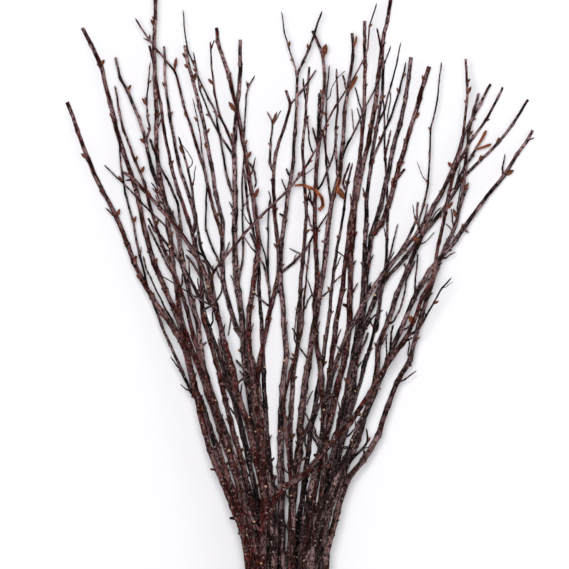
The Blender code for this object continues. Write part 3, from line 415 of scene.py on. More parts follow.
# Twigs too thin for the CAD: bark, radius at the foot and at the tip, and route from the
# foot in mm. Each grows from the nearest wood in line with it and lies over what it crosses.
FINE_TWIGS = (
    ("dark", 0.75, 0.50, (
        (-82, 215), (-84.5, 224), (-90, 229.2), (-99.7, 239), (-114, 253.8), (-127, 266.3))),
    ("dark", 1.00, 0.80, (
        (-74, 222), (-76.3, 239.8), (-83.9, 256.5), (-88.4, 264.8), (-95.9, 284.4))),
    ("dark", 0.35, 0.25, (
        (-69.5, 264.4), (-67.2, 266.3), (-66.5, 269.3), (-69.5, 274.6), (-74, 280.6))),
    ("dark", 0.90, 0.50, ((-26.4, 265.5), (-24.2, 261), (-23, 254.2), (-24.2, 250.4))),
    ("red", 0.70, 0.60, ((9, 318), (13, 323.5), (18.1, 331.3))),
    ("dark", 0.45, 0.30, ((-11.7, 294.2), (-9.1, 298), (-5.7, 304))),
    ("dark", 0.60, 0.70, ((12.9, 282.9), (11.9, 295), (11.7, 299.5))),
    ("dark", 1.20, 1.00, ((19, 285), (20, 303.3), (20, 315.4))),
    ("dark", 0.40, 0.25, ((27.5, 313), (28.7, 319.2), (31.7, 324.5), (37.8, 330.5))),
    ("brown", 0.80, 0.70, ((39.3, 314.6), (37.8, 319.2), (35.9, 327.5))),
    ("brown", 0.60, 0.50, ((49.5, 299.5), (48.4, 304.8), (46.1, 313.1), (44.2, 319.9))),
    ("grey", 0.45, 0.35, ((43.1, 291.2), (42.3, 304.8))),
    ("red", 0.80, 0.60, ((21.9, 288.9), (24.9, 273.1), (26.5, 267))),
    ("dark", 0.80, 0.60, ((21.9, 252.7), (24.9, 261), (28.7, 270), (31, 279.9), (32.5, 287.4))),
    ("grey", 0.90, 0.60, ((0, 258.7), (-3, 264))),
    ("grey", 0.70, 0.50, ((-3.4, 250.4), (-5.7, 256.8))),
    ("red", 0.90, 0.70, ((36.3, 254), (38, 260.5), (41, 268.2))),
    ("red", 0.75, 0.60, ((64.5, 270), (67.2, 282.9), (69.1, 290.5))),
    ("grey", 0.50, 0.35, ((66.5, 297.3), (68.4, 310), (68.4, 316.9))),
    ("dark", 0.50, 0.40, ((114.1, 236.8), (115.6, 244.4), (116.7, 253.4))),
    ("dark", 0.55, 0.35, ((111.1, 219.4), (109.6, 223.2), (105.8, 226.2))),
    ("brown", 0.70, 0.50, (
        (66.5, 196), (67.6, 202.1), (69.5, 210.4), (71.8, 217.9), (73.7, 226.2))),
    ("dark", 0.60, 0.40, ((90.5, 226), (93, 234), (94.4, 240))),
    ("dark", 0.70, 0.60, ((84.5, 172), (85, 182.4), (86.1, 193), (87, 206))),
    ("dark", 0.75, 0.60, (
        (71, 159.7), (75.6, 168.8), (77.8, 177.9), (79.3, 186.9), (83.1, 195.3), (85.4, 201.3))),
    ("dark", 0.45, 0.30, ((92.2, 213.4), (95.2, 216.4), (98.6, 220.6))),
    ("dark", 0.55, 0.40, ((53.6, 159), (58.9, 164.3), (63.5, 167.3))),
    ("dark", 0.80, 0.60, ((59.7, 153.7), (60.4, 161.3), (62, 171.1), (62.7, 177.9))),
    ("dark", 0.95, 0.70, ((67.6, 133), (68.4, 140.9), (68.8, 151.4), (70.3, 157.5))),
    ("grey", 0.65, 0.50, ((65.7, 136.3), (65.4, 144.6), (65, 152.2))),
    ("red", 0.90, 0.70, ((45.3, 131), (47.6, 137.8), (51.4, 146.1), (53.3, 152.2))),
    ("dark", 0.90, 0.75, ((49.1, 127.2), (50.6, 131), (52.1, 137.8))),
    ("red", 0.90, 0.70, ((76, 142), (79, 146.5), (83.1, 148.4))),
    ("dark", 0.45, 0.35, ((32.1, 207.3), (37, 203.6), (40.8, 200.5))),
    ("dark", 0.50, 0.40, ((6, 206.2), (2.3, 207.7), (-0.8, 209.6))),
    ("grey", 0.55, 0.40, ((3, 147.6), (3.4, 156), (4.5, 167.3), (6, 175.6))),
    ("dark", 0.75, 0.50, ((7, 141), (5.3, 146.1), (3.8, 151.4), (1.1, 155.2))),
    ("dark", 0.75, 0.50, ((-15.1, 170.3), (-21.2, 175.6), (-25.3, 180.1))),
    ("grey", 0.95, 0.60, (
        (-13.6, 180), (-15.9, 190), (-18, 197.5), (-21.2, 203.6), (-24.5, 213.4), (-27.6, 220.2))),
    ("dark", 0.65, 0.50, ((-15, 193), (-17.4, 206), (-20.5, 216))),
    ("dark", 0.60, 0.40, ((34, 140.1), (29.5, 145.4))),
    ("brown", 0.70, 0.50, ((22.7, 177), (27.5, 181.5), (31, 187), (36, 191.5))),
    ("dark", 0.65, 0.35, (
        (-55.9, 171.5), (-63.5, 175.6), (-74, 182.4), (-85.4, 189.2), (-92.2, 191.9))),
    ("grey", 0.85, 0.70, ((-59.7, 166.9), (-55.9, 168.8), (-52.1, 171.1))),
    ("dark", 0.85, 0.50, (
        (-76, 153), (-85.4, 168.8), (-88.4, 175.6), (-93.7, 186.2), (-98.2, 195.3),
        (-100.1, 204.3))),
    ("red", 0.95, 0.70, (
        (-71, 173), (-77.8, 189.2), (-83.9, 198.3), (-90.7, 211.9), (-96.7, 225.5))),
    ("dark", 0.95, 0.70, ((-52.9, 195.3), (-58.2, 203.6), (-62.7, 206.6), (-67.2, 211.9))),
    ("dark", 1.05, 0.80, ((-57, 178), (-61.2, 190), (-65.7, 198.3), (-71, 205.1))),
    ("dark", 0.65, 0.45, ((-49.1, 174.9), (-46.8, 179.4), (-46.1, 185.4))),
    ("grey", 0.60, 0.45, ((-39.5, 168), (-41.2, 156), (-41.9, 149.2))),
    ("grey", 0.95, 0.80, ((-44.5, 115), (-45.5, 130), (-47.5, 140), (-49, 148))),
    ("brown", 1.00, 0.75, ((-26.4, 124.2), (-34, 129.5), (-37, 133.3))),
    ("brown", 0.85, 0.65, ((-34.5, 118.5), (-30.5, 121.5), (-27, 124))),
    ("grey", 0.85, 0.60, ((16, 84), (12.1, 93.3), (9.1, 99.3))),
    ("grey", 1.00, 0.75, ((21.2, 70.6), (17.4, 78.1), (13.6, 84.2))),
    ("dark", 0.95, 0.70, ((13.6, 32.8), (12.1, 38.1), (10.6, 44.9))),
    ("dark", 0.75, 0.50, ((-42, 112), (-39.7, 108.4), (-35, 104))),
)

# Strips of peeled bark: the branch that each hangs from, its width and its route in mm
CURLS = (
    ("budded_stem", 3.2, (
        (19.5, 235), (22.2, 238), (21.5, 244), (18, 248.5), (13, 251), (8, 252.5), (3, 252))),
    ("peeling_stem", 3.4, ((34, 262), (33.5, 255), (31, 247), (28.5, 241), (27, 236))),
)


class BranchSettings(bpy.types.PropertyGroup):
    """Sizes of the wood."""

    ring_step: FloatProperty(
        name="Ring step", description="Distance between two rings of a branch's mesh",
        default=0.0013, unit="LENGTH")
    stem_sides: IntProperty(
        name="Stem sides", description="Faces round a stem", default=12, min=6)
    twig_sides: IntProperty(
        name="Twig sides", description="Faces round a side branch", default=10, min=6)
    swelling: FloatProperty(
        name="Node swelling", description="Extra thickness at a node, as a share of the radius",
        default=0.24, subtype="FACTOR")
    relief: FloatProperty(
        name="Relief", description="Unevenness of the bark, as a share of the radius",
        default=0.07, subtype="FACTOR")
    roundness: FloatProperty(
        name="Bend roundness", description="How far a bend is rounded, from kinked to a curve",
        default=0.40, subtype="FACTOR")
    wander: FloatProperty(
        name="Wander", description="How far a branch strays from its traced line",
        default=0.00016, unit="LENGTH")


class GrowthSettings(bpy.types.PropertyGroup):
    """Sizes of the buds, scars and lenticels."""

    bud_length: FloatProperty(
        name="Bud length", description="Length of an ordinary side bud",
        default=0.0030, unit="LENGTH")
    bud_share: FloatProperty(
        name="Budded nodes", description="Share of the thinner nodes that carry a bud",
        default=0.42, subtype="FACTOR")
    twig_share: FloatProperty(
        name="Nodes with a twig", description="Share of the nodes where a short twig is tried",
        default=0.34, subtype="FACTOR")
    twig_length: FloatProperty(
        name="Short twig length", description="Length of a short twig that has the room it needs",
        default=0.013, unit="LENGTH")
    knots_apart: FloatProperty(
        name="Knot spacing", description="Distance between two knots on a thick stem",
        default=0.050, unit="LENGTH")
    lenticel_size: FloatProperty(
        name="Lenticel size", description="Width of a lenticel across the branch",
        default=0.0009, unit="LENGTH")
    lenticel_density: FloatProperty(
        name="Lenticels per square metre", description="Lenticels on well speckled bark",
        default=100000.0)
    seed: IntProperty(name="Seed", description="Seed of what is scattered", default=7)


class ColourSettings(bpy.types.PropertyGroup):
    """Colours of bark, buds and wood."""

    red_bark: FloatVectorProperty(
        name="Red bark", description="Bark of the red shoots",
        subtype="COLOR", default=(0.090, 0.0155, 0.0130))
    dark_bark: FloatVectorProperty(
        name="Dark bark", description="Bark of the dark stems",
        subtype="COLOR", default=(0.020, 0.0092, 0.0098))
    grey_bark: FloatVectorProperty(
        name="Grey bark", description="Bark of the grey stems",
        subtype="COLOR", default=(0.048, 0.0245, 0.0245))
    brown_bark: FloatVectorProperty(
        name="Brown bark", description="Bark of the brown stems",
        subtype="COLOR", default=(0.056, 0.0205, 0.0165))
    # This pale silvery colour is partly painted highlight: real skin over the bark that also stands in
    # for its sheen.
    film_and_highlight: FloatVectorProperty(
        name="Silvery film", description="Thin grey skin over the bark",
        subtype="COLOR", default=(0.470, 0.288, 0.292))
    lenticel: FloatVectorProperty(
        name="Lenticel", description="Pale corky speck",
        subtype="COLOR", default=(0.33, 0.245, 0.235))
    bud: FloatVectorProperty(
        name="Bud", description="Bud scales", subtype="COLOR", default=(0.150, 0.046, 0.022))
    catkin: FloatVectorProperty(
        name="Catkin", description="Catkin scales", subtype="COLOR", default=(0.27, 0.080, 0.034))
    curl: FloatVectorProperty(
        name="Peeled bark", description="Orange inner side of peeled bark",
        subtype="COLOR", default=(0.32, 0.092, 0.036))
    cut_wood: FloatVectorProperty(
        name="Cut wood", description="Pale wood of a cut end",
        subtype="COLOR", default=(0.62, 0.42, 0.27))


class StageSettings(bpy.types.PropertyGroup):
    """The camera, the floor and the light."""

    view_x: FloatProperty(
        name="View centre X", description="Where the camera looks", default=-0.0109, unit="LENGTH")
    view_y: FloatProperty(
        name="View centre Y", description="Where the camera looks", default=0.0201, unit="LENGTH")
    view_width: FloatProperty(
        name="View width", description="Width that the picture shows at half the pile's height",
        default=0.3869, unit="LENGTH")
    distance: FloatProperty(
        name="Camera height", description="Height of the camera over the floor",
        default=5.0, unit="LENGTH")
    floor: FloatVectorProperty(
        name="Floor", description="Colour of the floor", subtype="COLOR", default=(0.90, 0.89, 0.92))
    key_power: FloatProperty(
        name="Key light", description="Power of the main light", default=76.0, unit="POWER")
    fill_power: FloatProperty(
        name="Fill light", description="Power of the filling light", default=4.0, unit="POWER")
    sky: FloatProperty(
        name="Sky", description="Strength of the light from all round", default=0.26)


class Value:
    """A socket of a shader tree that Python's operators work on, each adding a Math node."""

    def __init__(self, wiring, socket):
        self.wiring = wiring
        self.socket = socket

    def math(self, operation, *others, reverse=False, clamp=False):
        terms = [self, *others]
        if reverse:
            terms.reverse()
        node = self.wiring.add(
            "ShaderNodeMath", {"operation": operation, "use_clamp": clamp}, dict(enumerate(terms)))
        return Value(self.wiring, node.outputs[0])

    def __add__(self, other):
        return self.math("ADD", other)

    __radd__ = __add__

    def __mul__(self, other):
        return self.math("MULTIPLY", other)

    __rmul__ = __mul__

    def __sub__(self, other):
        return self.math("SUBTRACT", other)

    def __rsub__(self, other):
        return self.math("SUBTRACT", other, reverse=True)

    def __truediv__(self, other):
        return self.math("DIVIDE", other)

    def clamped(self):
        return self.math("ADD", 0.0, clamp=True)

    def over(self, low, high):
        """A mask that is 0 below low and 1 above high."""
        return ((self - low) / (high - low)).clamped()


class Wiring:
    """A node tree being wired. Every node comes from its one add method."""

    def __init__(self, tree):
        self.tree = tree
        tree.nodes.clear()

    def add(self, kind, settings=None, sockets=None):
        node = self.tree.nodes.new(kind)
        for key, value in (settings or {}).items():
            setattr(node, key, value)
        for key, value in (sockets or {}).items():
            source = value.socket if isinstance(value, Value) else value
            if isinstance(source, bpy.types.NodeSocket):
                self.tree.links.new(source, node.inputs[key])
            else:
                node.inputs[key].default_value = source
        return node

    def number(self, kind, output, settings=None, sockets=None):
        """The named output of a new node, ready for arithmetic."""
        return Value(self, self.add(kind, settings, sockets).outputs[output])

    def stored(self, name, form):
        """The node that reads a stored attribute inside a geometry tree."""
        return self.add("GeometryNodeInputNamedAttribute", {"data_type": form}, {"Name": name})

    def attribute(self, name, output="Fac"):
        return self.number("ShaderNodeAttribute", output, {"attribute_name": name})

    def stretched(self, vector, factors):
        """A vector multiplied side by side by three numbers."""
        return self.number(
            "ShaderNodeVectorMath", "Vector", {"operation": "MULTIPLY"}, {0: vector, 1: factors})

    def noise(self, vector, scale, detail=3.0):
        return self.number(
            "ShaderNodeTexNoise", 0, None, {"Vector": vector, "Scale": scale, "Detail": detail})

    def blend(self, factor, under, over):
        """Two colours mixed by a factor. A plain colour is three numbers."""
        colours = [c if isinstance(c, Value) else (*c, 1.0) for c in (under, over)]
        node = self.add(
            "ShaderNodeMix", {"data_type": "RGBA"}, {0: factor, 6: colours[0], 7: colours[1]})
        return Value(self, node.outputs[2])


def shaded(colour, share):
    """A colour made darker or lighter by a factor."""
    return tuple(min(1.0, part * share) for part in colour)


def surface(name, paint):
    """The painted material of that name, made the first time it is asked for.

    The CAD nodes bring plain materials of their own, so the painted ones have another ending.
    """
    title = f"{name}_painted"
    found = bpy.data.materials.get(title)
    if found is not None:
        return found
    material = bpy.data.materials.new(title)
    material.use_nodes = True
    wiring = Wiring(material.node_tree)
    colour, roughness, height, depth = paint(wiring)
    bump = wiring.add("ShaderNodeBump", None, {
        "Strength": BUMP_STRENGTH, "Distance": depth, "Height": height})
    shader = wiring.add("ShaderNodeBsdfPrincipled", None, {
        "Base Color": colour, "Roughness": roughness, "Normal": bump.outputs["Normal"],
        "Specular IOR Level": BARK_SHINE})
    wiring.add("ShaderNodeOutputMaterial", None, {"Surface": shader.outputs["BSDF"]})
    return material


def bark(name, base, film_and_highlight_share, speckled):
    """Bark with dark and light patches, fibres, a worn silvery skin that is partly painted highlight,
    specks and node scars.
    """
    colours = bpy.context.scene.birch_colours

    def paint(wiring):
        place = wiring.attribute("bark_place", "Vector")
        object_place = wiring.number("ShaderNodeTexCoord", "Object")
        patches = wiring.noise(object_place, PATCH_SCALE).over(0.40, 0.60)
        mottle = wiring.noise(wiring.stretched(place, (1.0, 1.0, 0.70)), MOTTLE_SCALE).over(0.47, 0.58)
        fibres = wiring.noise(wiring.stretched(place, (1.0, 1.0, 0.12)), FIBRE_SCALE, 4.0)
        grain = wiring.noise(object_place, GRAIN_SCALE, 2.0)
        film_and_highlight = wiring.noise(wiring.stretched(place, (1.0, 1.0, 0.22)), FILM_AND_HIGHLIGHT_SCALE).over(0.50, 0.60)
        bloom = wiring.noise(wiring.stretched(place, (1.0, 1.0, 0.16)), BLOOM_SCALE).over(0.50, 0.58)
        worn = wiring.noise(wiring.stretched(place, (1.0, 1.0, 0.55)), WEAR_SCALE).over(0.40, 0.56)
        upward = wiring.number("ShaderNodeSeparateXYZ", "Y", None, {"Vector": object_place})
        young = upward.over(BLOOM_START, BLOOM_FULL)
        cells = wiring.number("ShaderNodeTexVoronoi", "Distance", None, {
            "Vector": wiring.stretched(place, (0.75, 0.75, 1.0)), "Scale": SPECK_SCALE})
        specks = (1.0 - cells.over(0.15, 0.23)) * wiring.attribute("speckled")
        scars = wiring.attribute("scar")
        colour = wiring.blend(mottle, shaded(base, 0.06), shaded(base, 1.60))
        colour = wiring.blend(patches * 0.7, colour, shaded(base, 0.16))
        colour = wiring.blend(fibres.over(0.42, 0.56) * 0.60, colour, shaded(base, 0.10))
        # Painted highlight: the pale silvery skin is real, and it is also laid on in streaks to stand
        # in for the sheen that the low shine leaves out.
        colour = wiring.blend(film_and_highlight * worn * (film_and_highlight_share * 1.15), colour, tuple(colours.film_and_highlight))
        colour = wiring.blend(bloom * young * worn * (0.45 + film_and_highlight_share), colour, tuple(colours.film_and_highlight))
        colour = wiring.blend(specks * speckled, colour, tuple(colours.lenticel))
        colour = wiring.blend(scars * 0.55, colour, shaded(base, 0.28))
        roughness = 0.46 + grain * 0.20 + film_and_highlight * 0.12
        height = mottle * 0.6 + fibres * 0.5 + grain * 0.25 + specks * 0.6
        return colour, roughness, height, 0.00045

    return surface(name, paint)


def bark_surface(kind):
    """The bark of one kind of stem, from its colour and its shares of silvery skin, which is partly
    painted highlight, and of specks.
    """
    colours = bpy.context.scene.birch_colours
    finishes = {
        "red": (tuple(colours.red_bark), 0.20, 0.80),
        "dark": (tuple(colours.dark_bark), 0.22, 0.75),
        "grey": (tuple(colours.grey_bark), 0.50, 0.80),
        "brown": (tuple(colours.brown_bark), 0.35, 0.80),
    }
    return bark(f"{kind}_bark", *finishes[kind])


def cut_wood_surface():
    """Pale wood with growth rings and a dark pith."""
    base = tuple(bpy.context.scene.birch_colours.cut_wood)

    def paint(wiring):
        centred = wiring.attribute("bark_place", "Vector")
        across = wiring.stretched(centred, (1.0, 1.0, 0.0))
        middle = wiring.number("ShaderNodeVectorMath", "Value", {"operation": "LENGTH"}, {0: across})
        rings = (middle * 9000.0 + wiring.noise(centred, 900.0) * 2.0).math("SINE")
        pith = 1.0 - (middle * 1000.0).over(0.20, 0.45)
        colour = wiring.blend(rings.over(-0.2, 0.9) * 0.45, base, shaded(base, 0.62))
        colour = wiring.blend(pith * 0.75, colour, shaded(base, 0.25))
        return colour, 0.78 + rings * 0.05, rings, 0.00008

    return surface("cut_wood", paint)


def bud_surface():
    """Bud scales, shiny orange-brown with darker and paler mottling."""
    base = tuple(bpy.context.scene.birch_colours.bud)

    def paint(wiring):
        place = wiring.number("ShaderNodeTexCoord", "Object")
        mottle = wiring.noise(place, 620.0, 4.0)
        fine = wiring.noise(place, 2600.0, 2.0)
        colour = wiring.blend(mottle.over(0.35, 0.65), shaded(base, 0.40), shaded(base, 1.35))
        colour = wiring.blend(fine.over(0.55, 0.75) * 0.35, colour, shaded(base, 2.0))
        return colour, 0.36 + mottle * 0.2, mottle + fine * 0.5, 0.0001

    return surface("bud_scales", paint)


def catkin_surface():
    """Catkin scales with painted shade in the gaps between them."""
    base = tuple(bpy.context.scene.birch_colours.catkin)

    def paint(wiring):
        gaps = wiring.attribute("scar")
        mottle = wiring.noise(wiring.number("ShaderNodeTexCoord", "Object"), 900.0, 4.0)
        colour = wiring.blend(mottle.over(0.3, 0.7), shaded(base, 0.65), shaded(base, 1.35))
        # Painted shade: the recesses between the scales are darkened.
        colour = wiring.blend(gaps * 0.8, colour, shaded(base, 0.25))
        return colour, 0.55 + mottle * 0.2, mottle, 0.0001

    return surface("catkin_scales", paint)


def curl_surface():
    """Papery orange bark with darker streaks along it."""
    base = tuple(bpy.context.scene.birch_colours.curl)

    def paint(wiring):
        place = wiring.attribute("bark_place", "Vector")
        streaks = wiring.noise(wiring.stretched(place, (1.0, 1.0, 0.25)), 620.0, 4.0)
        patches = wiring.noise(wiring.number("ShaderNodeTexCoord", "Object"), 260.0)
        colour = wiring.blend(streaks.over(0.42, 0.58), shaded(base, 0.16), shaded(base, 1.30))
        colour = wiring.blend(patches.over(0.5, 0.7) * 0.5, colour, shaded(base, 0.30))
        return colour, 0.5 + streaks * 0.25, streaks, 0.00015

    return surface("peeled_bark", paint)


def lenticel_surface():
    """Corky pale grey-pink."""
    base = tuple(bpy.context.scene.birch_colours.lenticel)

    def paint(wiring):
        cork = wiring.noise(wiring.number("ShaderNodeTexCoord", "Object"), 500.0, 2.0)
        colour = wiring.blend(cork.over(0.35, 0.65), shaded(base, 0.45), shaded(base, 1.15))
        return colour, 0.75 + cork * 0.1, cork, 0.00005

    return surface("lenticel_cork", paint)


def floor_surface():
    """A plain pale floor with the faintest mottling."""
    base = tuple(bpy.context.scene.birch_stage.floor)

    def paint(wiring):
        mottle = wiring.noise(wiring.number("ShaderNodeTexCoord", "Object"), 3.0)
        colour = wiring.blend(mottle, shaded(base, 0.995), base)
        return colour, 0.85 + mottle * 0.02, mottle, 0.00002

    return surface("pale_floor", paint)


def flat(place):
    """A place in the traced view, in metres round the middle of the bunch."""
    return np.array(place, float) * MM - (MIDDLE_X, MIDDLE_Y)


def distance_along(points):
    """How far each point of a route lies from its start."""
    legs = np.linalg.norm(np.diff(points, axis=0), axis=1)
    return np.concatenate(([0.0], np.cumsum(legs)))


def node_shape(name):
    """The CAD node's solid, ready for a ray."""
    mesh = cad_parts[name].data
    corners = [vertex.co.copy() for vertex in mesh.vertices]
    return BVHTree.FromPolygons(corners, [tuple(face.vertices) for face in mesh.polygons])


def axis_height(shape, place, radius):
    """The height of an axis, found from below: the CAD rod's lowest corner is under its axis."""
    hit = shape.ray_cast(Vector((place[0], place[1], -0.01)), Vector((0.0, 0.0, 1.0)))[0]
    return math.nan if hit is None else hit.z + radius


def filled(heights):
    """Heights with the missing ones taken from their neighbours."""
    known = ~np.isnan(heights)
    if not known.any():
        raise RuntimeError("a branch's route misses its CAD node")
    places = np.arange(len(heights))
    return np.interp(places, places[known], heights[known])


class Limb:
    """A branch's axis in space, its radii and its bark."""

    def __init__(self, name, kind, axis, radii):
        self.name = name
        self.kind = kind
        self.axis = axis
        self.radii = radii
        self.along = distance_along(axis)

    def at(self, along):
        """The axis and the radius at distances along the limb, on straight legs."""
        axis = np.column_stack([np.interp(along, self.along, self.axis[:, i]) for i in range(3)])
        return axis, np.interp(along, self.along, self.radii)

    def height_near(self, place):
        """The height and radius of the axis point nearest to a place in the traced view."""
        along = np.linspace(0.0, self.along[-1], 400)
        axis, radii = self.at(along)
        nearest = np.argmin(np.sum((axis[:, :2] - place) ** 2, axis=1))
        return axis[nearest, 2], radii[nearest]


def laid_limb(name, kind, shape, route, foot, tip, start=None):
    """A limb along a traced route, at the heights of the CAD solid that it stands for."""
    points = flat(route)
    share = distance_along(points)
    radii = (foot + (tip - foot) * share / share[-1]) * MM
    probes = points.copy()
    probes[0] += 0.03 * (points[1] - points[0])
    probes[-1] += 0.03 * (points[-2] - points[-1])
    heights = np.array([axis_height(shape, *probe) for probe in zip(probes, radii)])
    if start is not None:
        heights[0] = start
    return Limb(name, kind, np.column_stack((points, filled(heights))), radii)


def trace_limbs():
    """Every stem and side branch by name, with the height of its axis from its CAD node."""
    limbs = {}
    for name, kind, foot, tip, route in STEMS:
        limbs[name] = laid_limb(name, kind, node_shape(name), route, foot, tip)
    for name, parent, kind, foot, tip, _, route in SIDE_BRANCHES:
        start, _ = limbs[parent].height_near(flat(route[0]))
        limbs[name] = laid_limb(name, kind, node_shape(name), route, foot, tip, start)
    return limbs


def spurs_of(limb, kinds):
    """The spurs of those kinds that grow from a limb, each with its kind."""
    shape = node_shape(limb.name)
    found = []
    for owner, kind, foot, tip, start, end in SPURS:
        if owner == limb.name and kind in kinds:
            height, _ = limb.height_near(flat(start))
            spur = laid_limb(f"{owner}_{kind}", limb.kind, shape, (start, end), foot, tip, height)
            found.append((kind, spur))
    return found


def chance(text):
    """A random source that depends only on a name."""
    return random.Random(sum(ord(letter) * (place + 3) for place, letter in enumerate(text)))


def node_places(limb):
    """Where the nodes are, in metres along the limb: at its bends and in its longer legs."""
    places = []
    for start, end in zip(limb.along[:-1], limb.along[1:]):
        if end - start > LONG_LEG:
            places.append((start + end) / 2.0)
        places.append(end)
    return np.array(places[:-1]) if len(places) > 1 else np.array([])


def rounded_axis(limb, along):
    """The limb's axis between kinked legs and a smooth curve, with a slight wander."""
    settings = bpy.context.scene.birch_branches
    straight, radii = limb.at(along)
    slopes = np.gradient(limb.axis, limb.along, axis=0)
    index = np.clip(np.searchsorted(limb.along, along, side="right") - 1, 0, len(limb.along) - 2)
    span = (limb.along[index + 1] - limb.along[index])[:, None]
    t = (along - limb.along[index])[:, None] / span
    curve = (
        (2 * t**3 - 3 * t**2 + 1) * limb.axis[index]
        + (t**3 - 2 * t**2 + t) * span * slopes[index]
        + (3 * t**2 - 2 * t**3) * limb.axis[index + 1]
        + (t**3 - t**2) * span * slopes[index + 1]
    )
    axis = straight + settings.roundness * (curve - straight)
    source = chance(limb.name)
    for wave in (0.031, 0.017, 0.009):
        turn = source.uniform(0.0, 2.0 * math.pi)
        strays = settings.wander * wave / 0.031 * np.sin(2.0 * math.pi * along / wave + turn)
        axis[:, 0] += strays
    return axis, radii


class Skin:
    """A mesh being gathered from closed tubes, with what its materials read from it."""

    def __init__(self):
        self.points = []
        self.faces = []
        self.finishes = []
        self.place = []
        self.scar = []
        self.speckled = []
        self.grain = []

    def ring(self, centre, direction, section, mark, scar, speckled):
        """Add one cross-section square to the axis, given as offsets sideways and upward."""
        sideways = np.cross(direction, (0.0, 0.0, 1.0))
        sideways /= np.linalg.norm(sideways)
        upward = np.cross(sideways, direction)
        self.points.extend(centre + section[:, :1] * sideways + section[:, 1:] * upward)
        self.place.extend((aside, up, mark) for aside, up in section)
        self.scar.extend(np.broadcast_to(scar, len(section)))
        self.speckled.extend([speckled] * len(section))
        self.grain.extend([direction] * len(section))

    # scars darkens each ring: real node scars on wood, and painted shade between the scales of a
    # catkin.
    def tube(self, axis, sections, marks, scars, speckled, start_finish=0, end_finish=0):
        """Add a closed tube with a cross-section for each point of its axis."""
        first = len(self.points)
        sides = sections.shape[1]
        directions = np.gradient(axis, axis=0)
        directions /= np.linalg.norm(directions, axis=1)[:, None]
        for row in range(len(axis)):
            self.ring(axis[row], directions[row], sections[row], marks[row], scars[row], speckled[row])
        for row in range(len(axis) - 1):
            low = first + row * sides
            high = low + sides
            for step in range(sides):
                following = (step + 1) % sides
                self.faces.append((low + step, high + step, high + following, low + following))
                self.finishes.append(0)
        last = first + (len(axis) - 1) * sides
        self.faces.append(tuple(range(first, first + sides)))
        self.finishes.append(start_finish)
        self.faces.append(tuple(reversed(range(last, last + sides))))
        self.finishes.append(end_finish)

    def piece(self, name, materials):
        """The gathered mesh as an object at the origin, pressed flat where it lies on the floor."""
        mesh = bpy.data.meshes.new(name)
        mesh.from_pydata([(x, y, max(z, 0.0)) for x, y, z in self.points], [], self.faces)
        for material in materials:
            mesh.materials.append(material)
        mesh.polygons.foreach_set("material_index", self.finishes)
        for title, form, field, values in (
            ("bark_place", "FLOAT_VECTOR", "vector", self.place),
            ("grain", "FLOAT_VECTOR", "vector", self.grain),
            ("scar", "FLOAT", "value", self.scar),
            ("speckled", "FLOAT", "value", self.speckled),
        ):
            layer = mesh.attributes.new(title, form, "POINT")
            layer.data.foreach_set(field, np.array(values, np.float32).ravel())
        mesh.shade_smooth()
        mesh.set_sharp_from_angle(angle=math.radians(SHARP_ANGLE))
        thing = bpy.data.objects.new(name, mesh)
        bpy.context.scene.collection.objects.link(thing)
        return thing


def ring_angles(sides):
    """The angle of each corner of a ring, in radians."""
    return np.arange(sides) * 2.0 * math.pi / sides


def round_sections(rows):
    """Cross-sections from radii: a row for each ring, with a radius for each corner."""
    angles = ring_angles(rows.shape[1])
    return np.stack((rows * np.cos(angles), rows * np.sin(angles)), axis=2)


def uneven(source, along, sides, amount):
    """Factors for a tube's radii that make it lumpy and slightly out of round."""
    angles = ring_angles(sides)
    total = np.zeros((len(along), sides))
    for turns, wave, share in ((2, 0.037, 0.8), (1, 0.013, 0.5), (3, 0.007, 0.45), (2, 0.0041, 0.35)):
        start = source.uniform(0.0, 6.28)
        tilt = source.uniform(0.0, 6.28)
        bend = np.sin(2.0 * math.pi * along / wave + start)[:, None]
        total += share * bend * np.sin(turns * angles + tilt + 40.0 * along[:, None])
    return 1.0 + amount * total


def branch_skin(limb, sides, cut_tip, collar=0.0):
    """A limb's bark: swollen, ringed nodes, lumps, a collar at its fork and its ends."""
    settings = bpy.context.scene.birch_branches
    count = max(8, round(limb.along[-1] / settings.ring_step))
    along = np.linspace(0.0, limb.along[-1], count)
    axis, radii = rounded_axis(limb, along)
    source = chance(limb.name)
    scars = np.zeros(count)
    swollen = np.ones(count)
    for place in node_places(limb):
        away = (along - place) / NODE_REACH
        hump = np.exp(-away**2)
        ripple = 0.25 * np.cos(away * 5.5)
        swollen += settings.swelling * source.uniform(0.5, 1.25) * hump * (1.0 + ripple)
        scars = np.maximum(scars, np.exp(-((along - place - SCAR_OFFSET) / SCAR_REACH) ** 2))
    if collar:
        swollen += 0.45 * np.exp(-(((along - collar) / COLLAR_REACH) ** 2))
    rows = radii[:, None] * swollen[:, None] * uneven(source, along, sides, settings.relief)
    if not cut_tip:
        to_end = (limb.along[-1] - along) / BRANCH_TIP_ROUNDING
        rows *= np.sqrt(np.clip(to_end, 0.01, 1.0))[:, None]
    traced_y = (axis[:, 1] + MIDDLE_Y) / MM
    speckled = np.clip(1.15 - traced_y / SPECKS_HEIGHT, 0.22, 1.0)
    speckled = speckled * np.clip(radii / SPECKS_RADIUS, 0.3, 1.0)
    marks = along + source.uniform(0.0, 3.0)
    skin = Skin()
    skin.tube(axis, round_sections(rows), marks, scars, speckled, 1, 1 if cut_tip else 0)
    return skin


